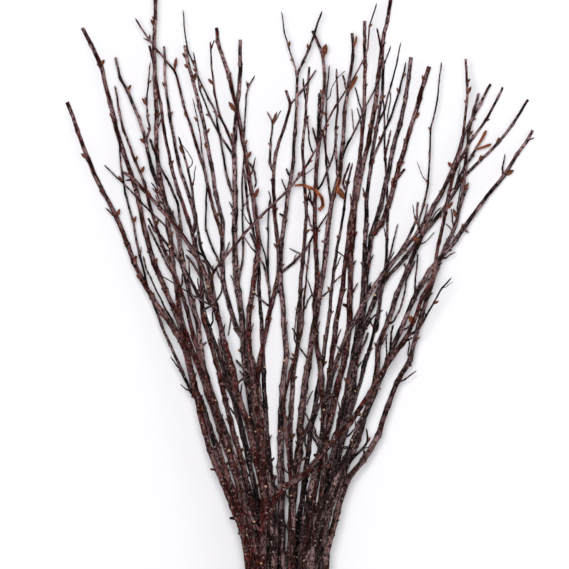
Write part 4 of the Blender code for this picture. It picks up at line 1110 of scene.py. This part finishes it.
def spur_rings(skin, limb, kind):
    """Add a stub or a short twig to its owner's skin."""
    sides = 8
    count = max(6, round(limb.along[-1] / TWIG_RING_STEP))
    along = np.linspace(0.0, limb.along[-1], count)
    axis, radii = rounded_axis(limb, along)
    source = chance(f"{limb.name}{limb.along[-1]:.5f}")
    rings = 1.0 + 0.10 * np.sin(along / 0.00075 + source.uniform(0.0, 6.0))
    rows = radii[:, None] * rings[:, None] * uneven(source, along, sides, 0.06)
    if kind == "twig":
        to_end = (limb.along[-1] - along) / TWIG_TIP_ROUNDING
        rows *= np.sqrt(np.clip(to_end, 0.02, 1.0))[:, None]
    marks = along + source.uniform(0.0, 3.0)
    scars = np.clip(0.4 * (rings - 1.0) / 0.10, 0.0, 1.0)
    end_finish = 1 if kind == "stub" else 0
    skin.tube(axis, round_sections(rows), marks, scars, np.full(count, 0.4), 0, end_finish)


def bud_rings(skin, limb):
    """Add a large bud: a short stalk, overlapping scales and a blunt point."""
    sides = 10
    count = 16
    along = np.linspace(0.0, limb.along[-1] * 1.08, count)
    share = along / along[-1]
    direction = (limb.axis[-1] - limb.axis[0]) / limb.along[-1]
    axis = limb.axis[0] + along[:, None] * direction
    widest = max(limb.radii[0], BUD_STALK_RADIUS) * 1.25
    body = np.interp(
        share, (0.0, 0.2, 0.32, 0.5, 0.72, 0.9, 1.0), (0.6, 0.6, 0.9, 1.1, 0.9, 0.45, 0.06))
    angles = ring_angles(sides)
    scales = 1.0 + 0.09 * np.sin(share[:, None] * 19.0 + 2.0 * angles)
    rows = widest * body[:, None] * scales
    gaps = np.clip(-np.sin(share * 19.0), 0.0, 1.0)
    skin.tube(axis, round_sections(rows), along, gaps, np.zeros(count))


def catkin_rings(skin, limb):
    """Add a catkin: rows of scales wound round its axis, blunt at the end."""
    sides = 16
    count = 46
    along = np.linspace(0.0, limb.along[-1], count)
    share = along / along[-1]
    axis, radii = limb.at(along)
    axis = axis + np.outer(np.sin(share * math.pi) * CATKIN_BOW, (0.6, 0.0, 0.8))
    angles = ring_angles(sides)
    wound = np.sin(4.0 * angles + share[:, None] * 26.0) * np.sin(4.0 * angles - share[:, None] * 26.0)
    body = np.interp(share, (0.0, 0.05, 0.14, 0.80, 0.94, 1.0), (0.45, 0.5, 1.15, 1.25, 0.85, 0.12))
    rows = radii[:, None] * body[:, None] * (1.0 + 0.17 * wound)
    # The recesses between the scales, the deeper the more painted shade; kept in the same place as the
    # node scars of wood.
    gaps = np.clip(-wound * 1.4, 0.0, 1.0)
    skin.tube(axis, round_sections(rows), along, gaps, np.zeros(count))


def curl_rings(skin, limb):
    """Add a strip of peeled bark: a thin sheet with its edges rolled up and ragged."""
    count = 60
    along = np.linspace(0.0, limb.along[-1], count)
    share = along / along[-1]
    axis, _ = rounded_axis(limb, along)
    sections = []
    for part in share:
        reach = 1.45 + 0.35 * math.sin(part * 9.0) + 0.20 * math.sin(part * 41.0)
        radius = limb.radii[0] * (1.0 - 0.45 * part**3)
        turns = np.linspace(-reach, reach, 9)
        outer = np.column_stack((np.sin(turns), -np.cos(turns))) * radius
        inner = outer[::-1] * (1.0 - CURL_THICKNESS / radius)
        sections.append(np.vstack((outer, inner)))
    skin.tube(axis, np.array(sections), along, np.zeros(count), np.zeros(count))


def dress(piece, nodes=()):
    """Let a piece ride with the bunch and stand for its CAD nodes."""
    if nodes:
        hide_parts(*nodes)
    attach(piece, BODY)


def wooden_piece(limb, sides, cut_tip, collar=0.0):
    """A branch with its stubs and short twigs, in place of its CAD node."""
    skin = branch_skin(limb, sides, cut_tip, collar)
    for kind, spur in spurs_of(limb, ("stub", "twig")):
        spur_rings(skin, spur, kind)
    piece = skin.piece(f"{limb.name}_wood", [bark_surface(limb.kind), cut_wood_surface()])
    dress(piece, (limb.name,))


class BIRCH_OT_stems(bpy.types.Operator):
    """Make the thirty-five stems, each in place of its CAD node"""

    bl_idname = "birch.stems"
    bl_label = "Stems"

    def execute(self, context):
        limbs = trace_limbs()
        for name, _, _, tip, _ in STEMS:
            wooden_piece(limbs[name], context.scene.birch_branches.stem_sides, tip >= CUT_TIP_RADIUS)
        return {"FINISHED"}


class BIRCH_OT_side_branches(bpy.types.Operator):
    """Make the side branches, each with a collar at its fork"""

    bl_idname = "birch.side_branches"
    bl_label = "Side branches"

    def execute(self, context):
        limbs = trace_limbs()
        for name, parent, _, _, tip, _, route in SIDE_BRANCHES:
            _, parent_radius = limbs[parent].height_near(flat(route[0]))
            sides = context.scene.birch_branches.twig_sides
            wooden_piece(limbs[name], sides, tip >= CUT_TIP_RADIUS, parent_radius)
        return {"FINISHED"}


class BIRCH_OT_fine_twigs(bpy.types.Operator):
    """Make the traced thin twigs, and short ones at nodes where there is room for them"""

    bl_idname = "birch.fine_twigs"
    bl_label = "Fine twigs"

    def execute(self, context):
        growth = context.scene.birch_growth
        limbs = list(trace_limbs().values())
        crowd = Crowd(limbs)
        skins = {limb.kind: Skin() for limb in limbs}
        for number, (kind, foot, tip, route) in enumerate(FINE_TWIGS):
            twig = crowd.lay(f"twig_{number}", kind, route, foot, tip)
            crowd.add(twig)
            spur_rings(skins[kind], twig, "twig")
        for limb in limbs:
            source = chance(f"{limb.name} twigs")
            for place in node_places(limb):
                traced_y = limb.at([place])[0][0, 1] / MM + MIDDLE_Y / MM
                if source.random() > growth.twig_share or not TWIGS_FROM_Y < traced_y < TWIGS_TO_Y:
                    continue
                for reach in (1.0, 0.6, 0.35):
                    length = growth.twig_length * source.uniform(0.5, 1.4) * reach
                    twig = shoot(limb, place, source.choice((-1.0, 1.0)), source, length)
                    if crowd.leaves_room(twig, limb.name):
                        crowd.add(twig)
                        spur_rings(skins[limb.kind], twig, "twig")
                        break
        for kind, skin in skins.items():
            dress(skin.piece(f"fine_twigs_{kind}", [bark_surface(kind)]))
        return {"FINISHED"}


class BIRCH_OT_knots(bpy.types.Operator):
    """Put the pale-ended feet of snapped twigs on the thick stems"""

    bl_idname = "birch.knots"
    bl_label = "Knots"

    def execute(self, context):
        apart = context.scene.birch_growth.knots_apart
        limbs = list(trace_limbs().values())
        crowd = Crowd(limbs)
        skins = {limb.kind: Skin() for limb in limbs}
        for limb in limbs:
            source = chance(f"{limb.name} knots")
            for place in np.arange(apart * source.uniform(0.2, 1.0), limb.along[-1] * 0.8, apart):
                place += apart * source.uniform(-0.3, 0.3)
                foot = knot(limb, place, source)
                if limb.at([place])[1][0] > KNOTTED_ABOVE and crowd.leaves_room(foot, limb.name):
                    spur_rings(skins[limb.kind], foot, "stub")
        for kind, skin in skins.items():
            dress(skin.piece(f"knots_{kind}", [bark_surface(kind), cut_wood_surface()]))
        return {"FINISHED"}


class BIRCH_OT_large_buds(bpy.types.Operator):
    """Make the large buds that stand where the CAD nodes have a short rod"""

    bl_idname = "birch.large_buds"
    bl_label = "Large buds"

    def execute(self, context):
        skin = Skin()
        for limb in trace_limbs().values():
            for _, spur in spurs_of(limb, ("bud",)):
                bud_rings(skin, spur)
        dress(skin.piece("large_buds", [bud_surface()]))
        return {"FINISHED"}


class BIRCH_OT_catkins(bpy.types.Operator):
    """Make the catkins, each its own piece"""

    bl_idname = "birch.catkins"
    bl_label = "Catkins"

    def execute(self, context):
        count = 0
        for limb in trace_limbs().values():
            for _, spur in spurs_of(limb, ("catkin",)):
                skin = Skin()
                catkin_rings(skin, spur)
                count += 1
                dress(skin.piece(f"catkin_{count}", [catkin_surface()]))
        return {"FINISHED"}


class BIRCH_OT_peeled_bark(bpy.types.Operator):
    """Make the strips of peeled bark"""

    bl_idname = "birch.peeled_bark"
    bl_label = "Peeled bark"

    def execute(self, context):
        limbs = trace_limbs()
        for owner, width, route in CURLS:
            points = flat(route)
            height, radius = limbs[owner].height_near(points[0])
            share = distance_along(points)
            heights = height + radius * 0.7 + CURL_RISE * np.sin(share / share[-1] * math.pi)
            radii = np.full(len(points), width * MM * 0.375)
            limb = Limb(owner, limbs[owner].kind, np.column_stack((points, heights)), radii)
            skin = Skin()
            curl_rings(skin, limb)
            dress(skin.piece(f"peeled_bark_on_{owner}", [curl_surface()]))
        return {"FINISHED"}


def taut(along, heights):
    """The lowest heights of a taut line that passes over every given height."""
    kept = [0]
    for step in range(1, len(heights)):
        while len(kept) > 1:
            first, second = kept[-2:]
            rise = (heights[second] - heights[first]) * (along[step] - along[second])
            next_rise = (heights[step] - heights[second]) * (along[second] - along[first])
            if rise > next_rise:
                break
            kept.pop()
        kept.append(step)
    return np.interp(along, along[kept], heights[kept])


class Crowd:
    """Where there is wood already, so that new wood can keep out of it."""

    def __init__(self, limbs):
        self.places = np.zeros((0, 3))
        self.reaches = np.zeros(0)
        self.owners = np.zeros(0, str)
        for limb in limbs:
            self.add(limb)

    def add(self, limb):
        """Take in a limb's places, with its radius and name at each."""
        axis, radii = limb.at(np.arange(0.0, limb.along[-1], SAMPLE_STEP))
        self.places = np.vstack((self.places, axis))
        self.reaches = np.concatenate((self.reaches, radii))
        self.owners = np.concatenate((self.owners, [limb.name] * len(radii)))

    def leaves_room(self, limb, parent):
        """Whether a limb keeps off all wood but its parent, and inside the bunch's own box."""
        axis, radii = limb.at(np.linspace(0.0, limb.along[-1], 14))
        others = self.owners != parent
        gaps = np.linalg.norm(axis[:, None] - self.places[others], axis=2)
        clear = (gaps > radii[:, None] + self.reaches[others] + CLEARANCE).all()
        return clear and (axis < CAD_BOX[1]).all() and (axis[:, :2] > CAD_BOX[0][:2]).all()

    def lay(self, name, kind, route, foot, tip):
        """A twig that grows from wood in line with it and lies taut over what it crosses."""
        corners = flat(route)
        lead = corners[1] - corners[0]
        steps = corners[0] - self.places[:, :2]
        lengths = np.linalg.norm(steps, axis=1) + TINY
        straight = steps @ (lead / np.linalg.norm(lead)) / lengths
        root = np.argmin(lengths * (DISTANCE_WEIGHT - straight))
        corners = np.vstack((self.places[root, :2] + TINY, corners))
        reached = distance_along(corners)
        along = np.linspace(0.0, reached[-1], max(4, round(reached[-1] / SAMPLE_STEP)))
        points = np.column_stack([np.interp(along, reached, corners[:, i]) for i in range(2)])
        radii = (foot + (tip - foot) * along / along[-1]) * MM
        apart = np.linalg.norm(points[:, None] - self.places[:, :2], axis=2)
        start = self.places[root, 2]
        grown_from = self.owners == self.owners[root]
        needed = np.maximum(radii, 0.5 * start)
        for row, (radius, distances) in enumerate(zip(radii, apart)):
            reach = self.reaches + radius
            under = (distances < reach) & ~(grown_from & (along[row] < FORK_REACH))
            if under.any():
                lifts = np.sqrt(reach[under] ** 2 - distances[under] ** 2)
                needed[row] = max(needed[row], (self.places[under, 2] + lifts).max())
        needed[0] = start
        return Limb(name, kind, np.column_stack((points, taut(along, needed))), radii)


def stance(limb, place):
    """A limb's axis point, radius and the directions onward and sideways at a place along it."""
    axis, radii = rounded_axis(limb, np.array([place, place + 0.001]))
    onward = axis[1] - axis[0]
    onward /= np.linalg.norm(onward)
    sideways = np.cross(onward, (0.0, 0.0, 1.0))
    return axis[0], radii[0], onward, sideways / np.linalg.norm(sideways)


def shoot(parent, place, side, source, length):
    """A thin twig in short kinked legs, which leaves its parent sideways and bends back along it."""
    start, radius, onward, sideways = stance(parent, place)
    outward = side * sideways + np.array((0.0, 0.0, source.uniform(-0.15, 0.60)))
    outward /= np.linalg.norm(outward)
    legs = max(3, round(length / NEW_TWIG_LEG))
    angle = math.radians(source.uniform(18.0, 42.0))
    kink = math.radians(source.uniform(4.0, 11.0))
    points = [start]
    for leg in range(legs):
        turn = angle * (1.0 - 0.7 * leg / legs) + kink * (-1) ** leg
        heading = math.cos(turn) * onward + math.sin(turn) * outward
        points.append(points[-1] + length / legs * heading)
    points = np.array(points)
    foot = min(NEW_TWIG_FOOT, 0.55 * radius)
    radii = np.linspace(foot, 0.55 * foot, legs + 1)
    points[:, 2] = np.maximum(points[:, 2], radii)
    return Limb(f"{parent.name}_{place:.4f}", parent.kind, points, radii)


def knot(parent, place, source):
    """The short foot of a snapped twig, somewhere on the upper side of a stem."""
    start, radius, onward, sideways = stance(parent, place)
    turn = source.uniform(-0.2, math.pi + 0.2)
    outward = math.cos(turn) * sideways + math.sin(turn) * np.array((0.0, 0.0, 1.0))
    aim = outward + source.uniform(0.3, 1.1) * onward
    aim /= np.linalg.norm(aim)
    length = radius * 1.3 + source.uniform(0.0010, 0.0032)
    points = np.array([start, start + 0.5 * length * aim, start + length * aim])
    width = source.uniform(0.00065, 0.00110)
    radii = width * np.array((1.35, 1.15, 0.95))
    return Limb(f"{parent.name}_{place:.4f}", parent.kind, points, radii)


def named_inputs(tree, inputs):
    """Give a tree its named inputs, as names and socket types, and its output."""
    for name, kind in inputs:
        tree.interface.new_socket(name, in_out="INPUT", socket_type=kind)
    tree.interface.new_socket("Geometry", in_out="OUTPUT", socket_type="NodeSocketGeometry")


def baked(name, guide, tree, values, helpers):
    """The plain mesh that a tree grows on a guide mesh, kept off the floor.

    The guide and helpers are removed.
    """
    holder = bpy.data.objects.new(f"{name}_guide", guide)
    bpy.context.scene.collection.objects.link(holder)
    modifier = holder.modifiers.new("growth", "NODES")
    modifier.node_group = tree
    for item in tree.interface.items_tree:
        if item.in_out == "INPUT" and item.name in values:
            modifier[item.identifier] = values[item.name]
    graph = bpy.context.evaluated_depsgraph_get()
    mesh = bpy.data.meshes.new_from_object(holder.evaluated_get(graph))
    holder.modifiers.remove(modifier)
    for thing in (holder, *helpers):
        bpy.data.objects.remove(thing, do_unlink=True)
    mesh.name = name
    for vertex in mesh.vertices:
        vertex.co.z = max(vertex.co.z, 0.0)
    piece = bpy.data.objects.new(name, mesh)
    bpy.context.scene.collection.objects.link(piece)
    return piece


def small_shape(name, sides, profile):
    """A small closed shape turned round Z, from its radii and heights, of unit length."""
    angles = [2.0 * math.pi * step / sides for step in range(sides)]
    corners = [
        (radius * math.cos(angle), radius * math.sin(angle), height)
        for radius, height in profile for angle in angles]
    faces = [tuple(reversed(range(sides)))]
    for low in range(0, len(corners) - sides, sides):
        high = low + sides
        for step in range(sides):
            following = (step + 1) % sides
            faces.append((low + step, low + following, high + following, high + step))
    faces.append(tuple(range(len(corners) - sides, len(corners))))
    mesh = bpy.data.meshes.new(name)
    mesh.from_pydata(corners, [], faces)
    mesh.shade_smooth()
    thing = bpy.data.objects.new(name, mesh)
    bpy.context.scene.collection.objects.link(thing)
    return thing


def finish_instances(wiring, points, shape, turned, size, finish):
    """End a tree: the shape on each point, turned and sized, made real and given its finish."""
    placed = wiring.add("GeometryNodeInstanceOnPoints", None, {
        "Points": points, "Instance": shape.outputs["Geometry"],
        "Rotation": turned.outputs[0], "Scale": size.outputs[0]})
    real = wiring.add("GeometryNodeRealizeInstances", None, {"Geometry": placed.outputs[0]})
    finished = wiring.add("GeometryNodeSetMaterial", None, {
        "Geometry": real.outputs[0], "Material": finish})
    wiring.add("NodeGroupOutput", None, {"Geometry": finished.outputs[0]})


def bud_tree():
    """Instances of a small bud on points, turned to each point's aim and sized by it."""
    tree = bpy.data.node_groups.new("small_buds", "GeometryNodeTree")
    named_inputs(tree, (
        ("Geometry", "NodeSocketGeometry"), ("Length", "NodeSocketFloat"),
        ("Bud", "NodeSocketObject"), ("Finish", "NodeSocketMaterial")))
    wiring = Wiring(tree)
    source = wiring.add("NodeGroupInput").outputs
    bud = wiring.add("GeometryNodeObjectInfo", None, {"Object": source["Bud"]})
    aim = wiring.stored("aim", "FLOAT_VECTOR")
    grown = wiring.stored("grown", "FLOAT")
    turned = wiring.add("FunctionNodeAlignRotationToVector", {"axis": "Z"}, {"Vector": aim.outputs[0]})
    size = wiring.add("ShaderNodeMath", {"operation": "MULTIPLY"}, {
        0: grown.outputs[0], 1: source["Length"]})
    finish_instances(wiring, source["Geometry"], bud, turned, size, source["Finish"])
    return tree


def lenticel_tree():
    """Low specks scattered on bark, longest across the branch."""
    tree = bpy.data.node_groups.new("lenticels", "GeometryNodeTree")
    named_inputs(tree, (
        ("Geometry", "NodeSocketGeometry"), ("Density", "NodeSocketFloat"),
        ("Size", "NodeSocketFloat"), ("Seed", "NodeSocketInt"),
        ("Speck", "NodeSocketObject"), ("Finish", "NodeSocketMaterial")))
    wiring = Wiring(tree)
    source = wiring.add("NodeGroupInput").outputs
    speck = wiring.add("GeometryNodeObjectInfo", None, {"Object": source["Speck"]})
    often = wiring.stored("speckled", "FLOAT")
    grain = wiring.stored("grain", "FLOAT_VECTOR")
    density = wiring.add("ShaderNodeMath", {"operation": "MULTIPLY"}, {
        0: often.outputs[0], 1: source["Density"]})
    spread = wiring.add("GeometryNodeDistributePointsOnFaces", None, {
        "Mesh": source["Geometry"], "Density": density.outputs[0], "Seed": source["Seed"]})
    turned = wiring.add("FunctionNodeAlignRotationToVector", {"axis": "Y", "pivot_axis": "Z"}, {
        "Rotation": spread.outputs["Rotation"], "Vector": grain.outputs[0]})
    chosen = wiring.add("FunctionNodeRandomValue", {"data_type": "FLOAT"}, {
        2: 0.55, 3: 1.35, "Seed": source["Seed"]})
    size = wiring.add("ShaderNodeMath", {"operation": "MULTIPLY"}, {
        0: chosen.outputs[1], 1: source["Size"]})
    finish_instances(wiring, spread.outputs["Points"], speck, turned, size, source["Finish"])
    return tree


def bud_guides(limbs):
    """Points for the small buds: at nodes of the thinner wood, leaning out and to the tip."""
    growth = bpy.context.scene.birch_growth
    spots = []
    for limb in limbs.values():
        source = chance(f"{limb.name} buds")
        side = 1.0 if source.random() < 0.5 else -1.0
        for place in node_places(limb):
            side = -side
            start, radius, onward, sideways = stance(limb, place)
            if radius >= BUDDED_BELOW or source.random() > growth.bud_share:
                continue
            outward = side * sideways + np.array((0.0, 0.0, source.uniform(-0.3, 0.7)))
            outward /= np.linalg.norm(outward)
            aim = onward + source.uniform(0.45, 0.85) * outward
            spot = start + outward * radius * 0.75
            spots.append((spot, aim / np.linalg.norm(aim), source.uniform(0.65, 1.3)))
    mesh = bpy.data.meshes.new("bud_guides")
    mesh.from_pydata([tuple(spot) for spot, _, _ in spots], [], [])
    aims = np.array([aim for _, aim, _ in spots], np.float32)
    mesh.attributes.new("aim", "FLOAT_VECTOR", "POINT").data.foreach_set("vector", aims.ravel())
    sizes = np.array([size for _, _, size in spots], np.float32)
    mesh.attributes.new("grown", "FLOAT", "POINT").data.foreach_set("value", sizes)
    return mesh


class BIRCH_OT_small_buds(bpy.types.Operator):
    """Grow the small side buds at the nodes of the thinner wood"""

    bl_idname = "birch.small_buds"
    bl_label = "Small buds"

    def execute(self, context):
        bud = small_shape("one_bud", 7, (
            (0.17, -0.10), (0.20, 0.08), (0.24, 0.28), (0.22, 0.50), (0.15, 0.74), (0.07, 0.92),
            (0.015, 1.0)))
        growth = context.scene.birch_growth
        values = {"Length": growth.bud_length, "Bud": bud, "Finish": bud_surface()}
        piece = baked("small_buds", bud_guides(trace_limbs()), bud_tree(), values, (bud,))
        dress(piece)
        return {"FINISHED"}


class BIRCH_OT_lenticels(bpy.types.Operator):
    """Scatter raised lenticels over the bark of the stems"""

    bl_idname = "birch.lenticels"
    bl_label = "Lenticels"

    def execute(self, context):
        growth = context.scene.birch_growth
        speck = small_shape("one_lenticel", 5, ((0.50, -0.12), (0.30, 0.12)))
        speck.data.transform(((1, 0, 0, 0), (0, 0.6, 0, 0), (0, 0, 1, 0), (0, 0, 0, 1)))
        skin = Skin()
        settings = context.scene.birch_branches
        for limb in trace_limbs().values():
            own = branch_skin(limb, settings.stem_sides, True)
            first = len(skin.points)
            skin.points.extend(own.points)
            skin.faces.extend(tuple(first + corner for corner in face) for face in own.faces[:-2])
            skin.finishes.extend(own.finishes[:-2])
            skin.place.extend(own.place)
            skin.scar.extend(own.scar)
            skin.speckled.extend(own.speckled)
            skin.grain.extend(own.grain)
        gathered = skin.piece("lenticel_ground", [])
        guide = gathered.data
        bpy.data.objects.remove(gathered)
        values = {
            "Density": growth.lenticel_density, "Size": growth.lenticel_size,
            "Seed": growth.seed, "Speck": speck, "Finish": lenticel_surface()}
        piece = baked("lenticels", guide, lenticel_tree(), values, (speck,))
        dress(piece)
        return {"FINISHED"}


def soft_light(name, place, aim, width, power):
    """A square soft light that points at a place."""
    light = bpy.data.lights.new(name, "AREA")
    light.size = width
    light.energy = power
    thing = bpy.data.objects.new(name, light)
    thing.location = place
    thing.rotation_euler = (Vector(aim) - Vector(place)).to_track_quat("-Z", "Y").to_euler()
    bpy.context.scene.collection.objects.link(thing)


class BIRCH_OT_stage(bpy.types.Operator):
    """Make the floor, the light and the camera that looks straight down"""

    bl_idname = "birch.stage"
    bl_label = "Stage"

    def execute(self, context):
        stage = context.scene.birch_stage
        half = 6.0
        mesh = bpy.data.meshes.new("floor")
        corners = ((-half, -half, 0.0), (half, -half, 0.0), (half, half, 0.0), (-half, half, 0.0))
        mesh.from_pydata(corners, [], [(0, 1, 2, 3)])
        mesh.materials.append(floor_surface())
        floor = bpy.data.objects.new("floor", mesh)
        context.scene.collection.objects.link(floor)
        soft_light("key_light", (-0.11, 0.15, 3.0), (0.0, 0.0, 0.0), 0.8, stage.key_power)
        soft_light("fill_light", (1.2, -0.6, 1.3), (0.0, 0.0, 0.0), 1.2, stage.fill_power)
        world = bpy.data.worlds.new("studio")
        world.use_nodes = True
        wiring = Wiring(world.node_tree)
        sky = wiring.add("ShaderNodeBackground", None, {
            "Color": (1.0, 1.0, 1.0, 1.0), "Strength": stage.sky})
        wiring.add("ShaderNodeOutputWorld", None, {"Surface": sky.outputs["Background"]})
        context.scene.world = world
        context.scene.view_settings.view_transform = "Standard"
        lens = bpy.data.cameras.new("camera")
        middle = (CAD_BOX[0].z + CAD_BOX[1].z) / 2.0
        lens.lens = lens.sensor_width * (stage.distance - middle) / stage.view_width
        camera = bpy.data.objects.new("camera", lens)
        camera.location = (stage.view_x, stage.view_y, stage.distance)
        context.scene.collection.objects.link(camera)
        context.scene.camera = camera
        return {"FINISHED"}


class BIRCH_PT_panel(bpy.types.Panel):
    """The steps that make the bunch, with its sizes and colours."""

    bl_idname = "BIRCH_PT_panel"
    bl_label = "Birch branch"
    bl_space_type = "VIEW_3D"
    bl_region_type = "UI"
    bl_category = "Birch"

    def draw(self, context):
        scene = context.scene
        for operator in OPERATORS:
            self.layout.operator(operator.bl_idname)
        groups = (scene.birch_branches, scene.birch_growth, scene.birch_colours, scene.birch_stage)
        for group in groups:
            box = self.layout.box()
            for name in group.bl_rna.properties.keys():
                if name not in ("rna_type", "name"):
                    box.prop(group, name)


SETTINGS = (
    ("birch_branches", BranchSettings),
    ("birch_growth", GrowthSettings),
    ("birch_colours", ColourSettings),
    ("birch_stage", StageSettings),
)
OPERATORS = (
    BIRCH_OT_stems,
    BIRCH_OT_side_branches,
    BIRCH_OT_fine_twigs,
    BIRCH_OT_knots,
    BIRCH_OT_large_buds,
    BIRCH_OT_catkins,
    BIRCH_OT_peeled_bark,
    BIRCH_OT_small_buds,
    BIRCH_OT_lenticels,
    BIRCH_OT_stage,
)


def register():
    """Register the settings, operators and panel."""
    for name, group in SETTINGS:
        bpy.utils.register_class(group)
        setattr(bpy.types.Scene, name, PointerProperty(type=group))
    for operator in OPERATORS:
        bpy.utils.register_class(operator)
    bpy.utils.register_class(BIRCH_PT_panel)


def unregister():
    """Undo what register did."""
    bpy.utils.unregister_class(BIRCH_PT_panel)
    for operator in reversed(OPERATORS):
        bpy.utils.unregister_class(operator)
    for name, group in reversed(SETTINGS):
        delattr(bpy.types.Scene, name)
        bpy.utils.unregister_class(group)


def main():
    """Make every piece and the stage."""
    register()
    bpy.ops.birch.stems()
    bpy.ops.birch.side_branches()
    bpy.ops.birch.fine_twigs()
    bpy.ops.birch.knots()
    bpy.ops.birch.large_buds()
    bpy.ops.birch.catkins()
    bpy.ops.birch.peeled_bark()
    bpy.ops.birch.small_buds()
    bpy.ops.birch.lenticels()
    bpy.ops.birch.stage()


if __name__ == "__main__":
    main()
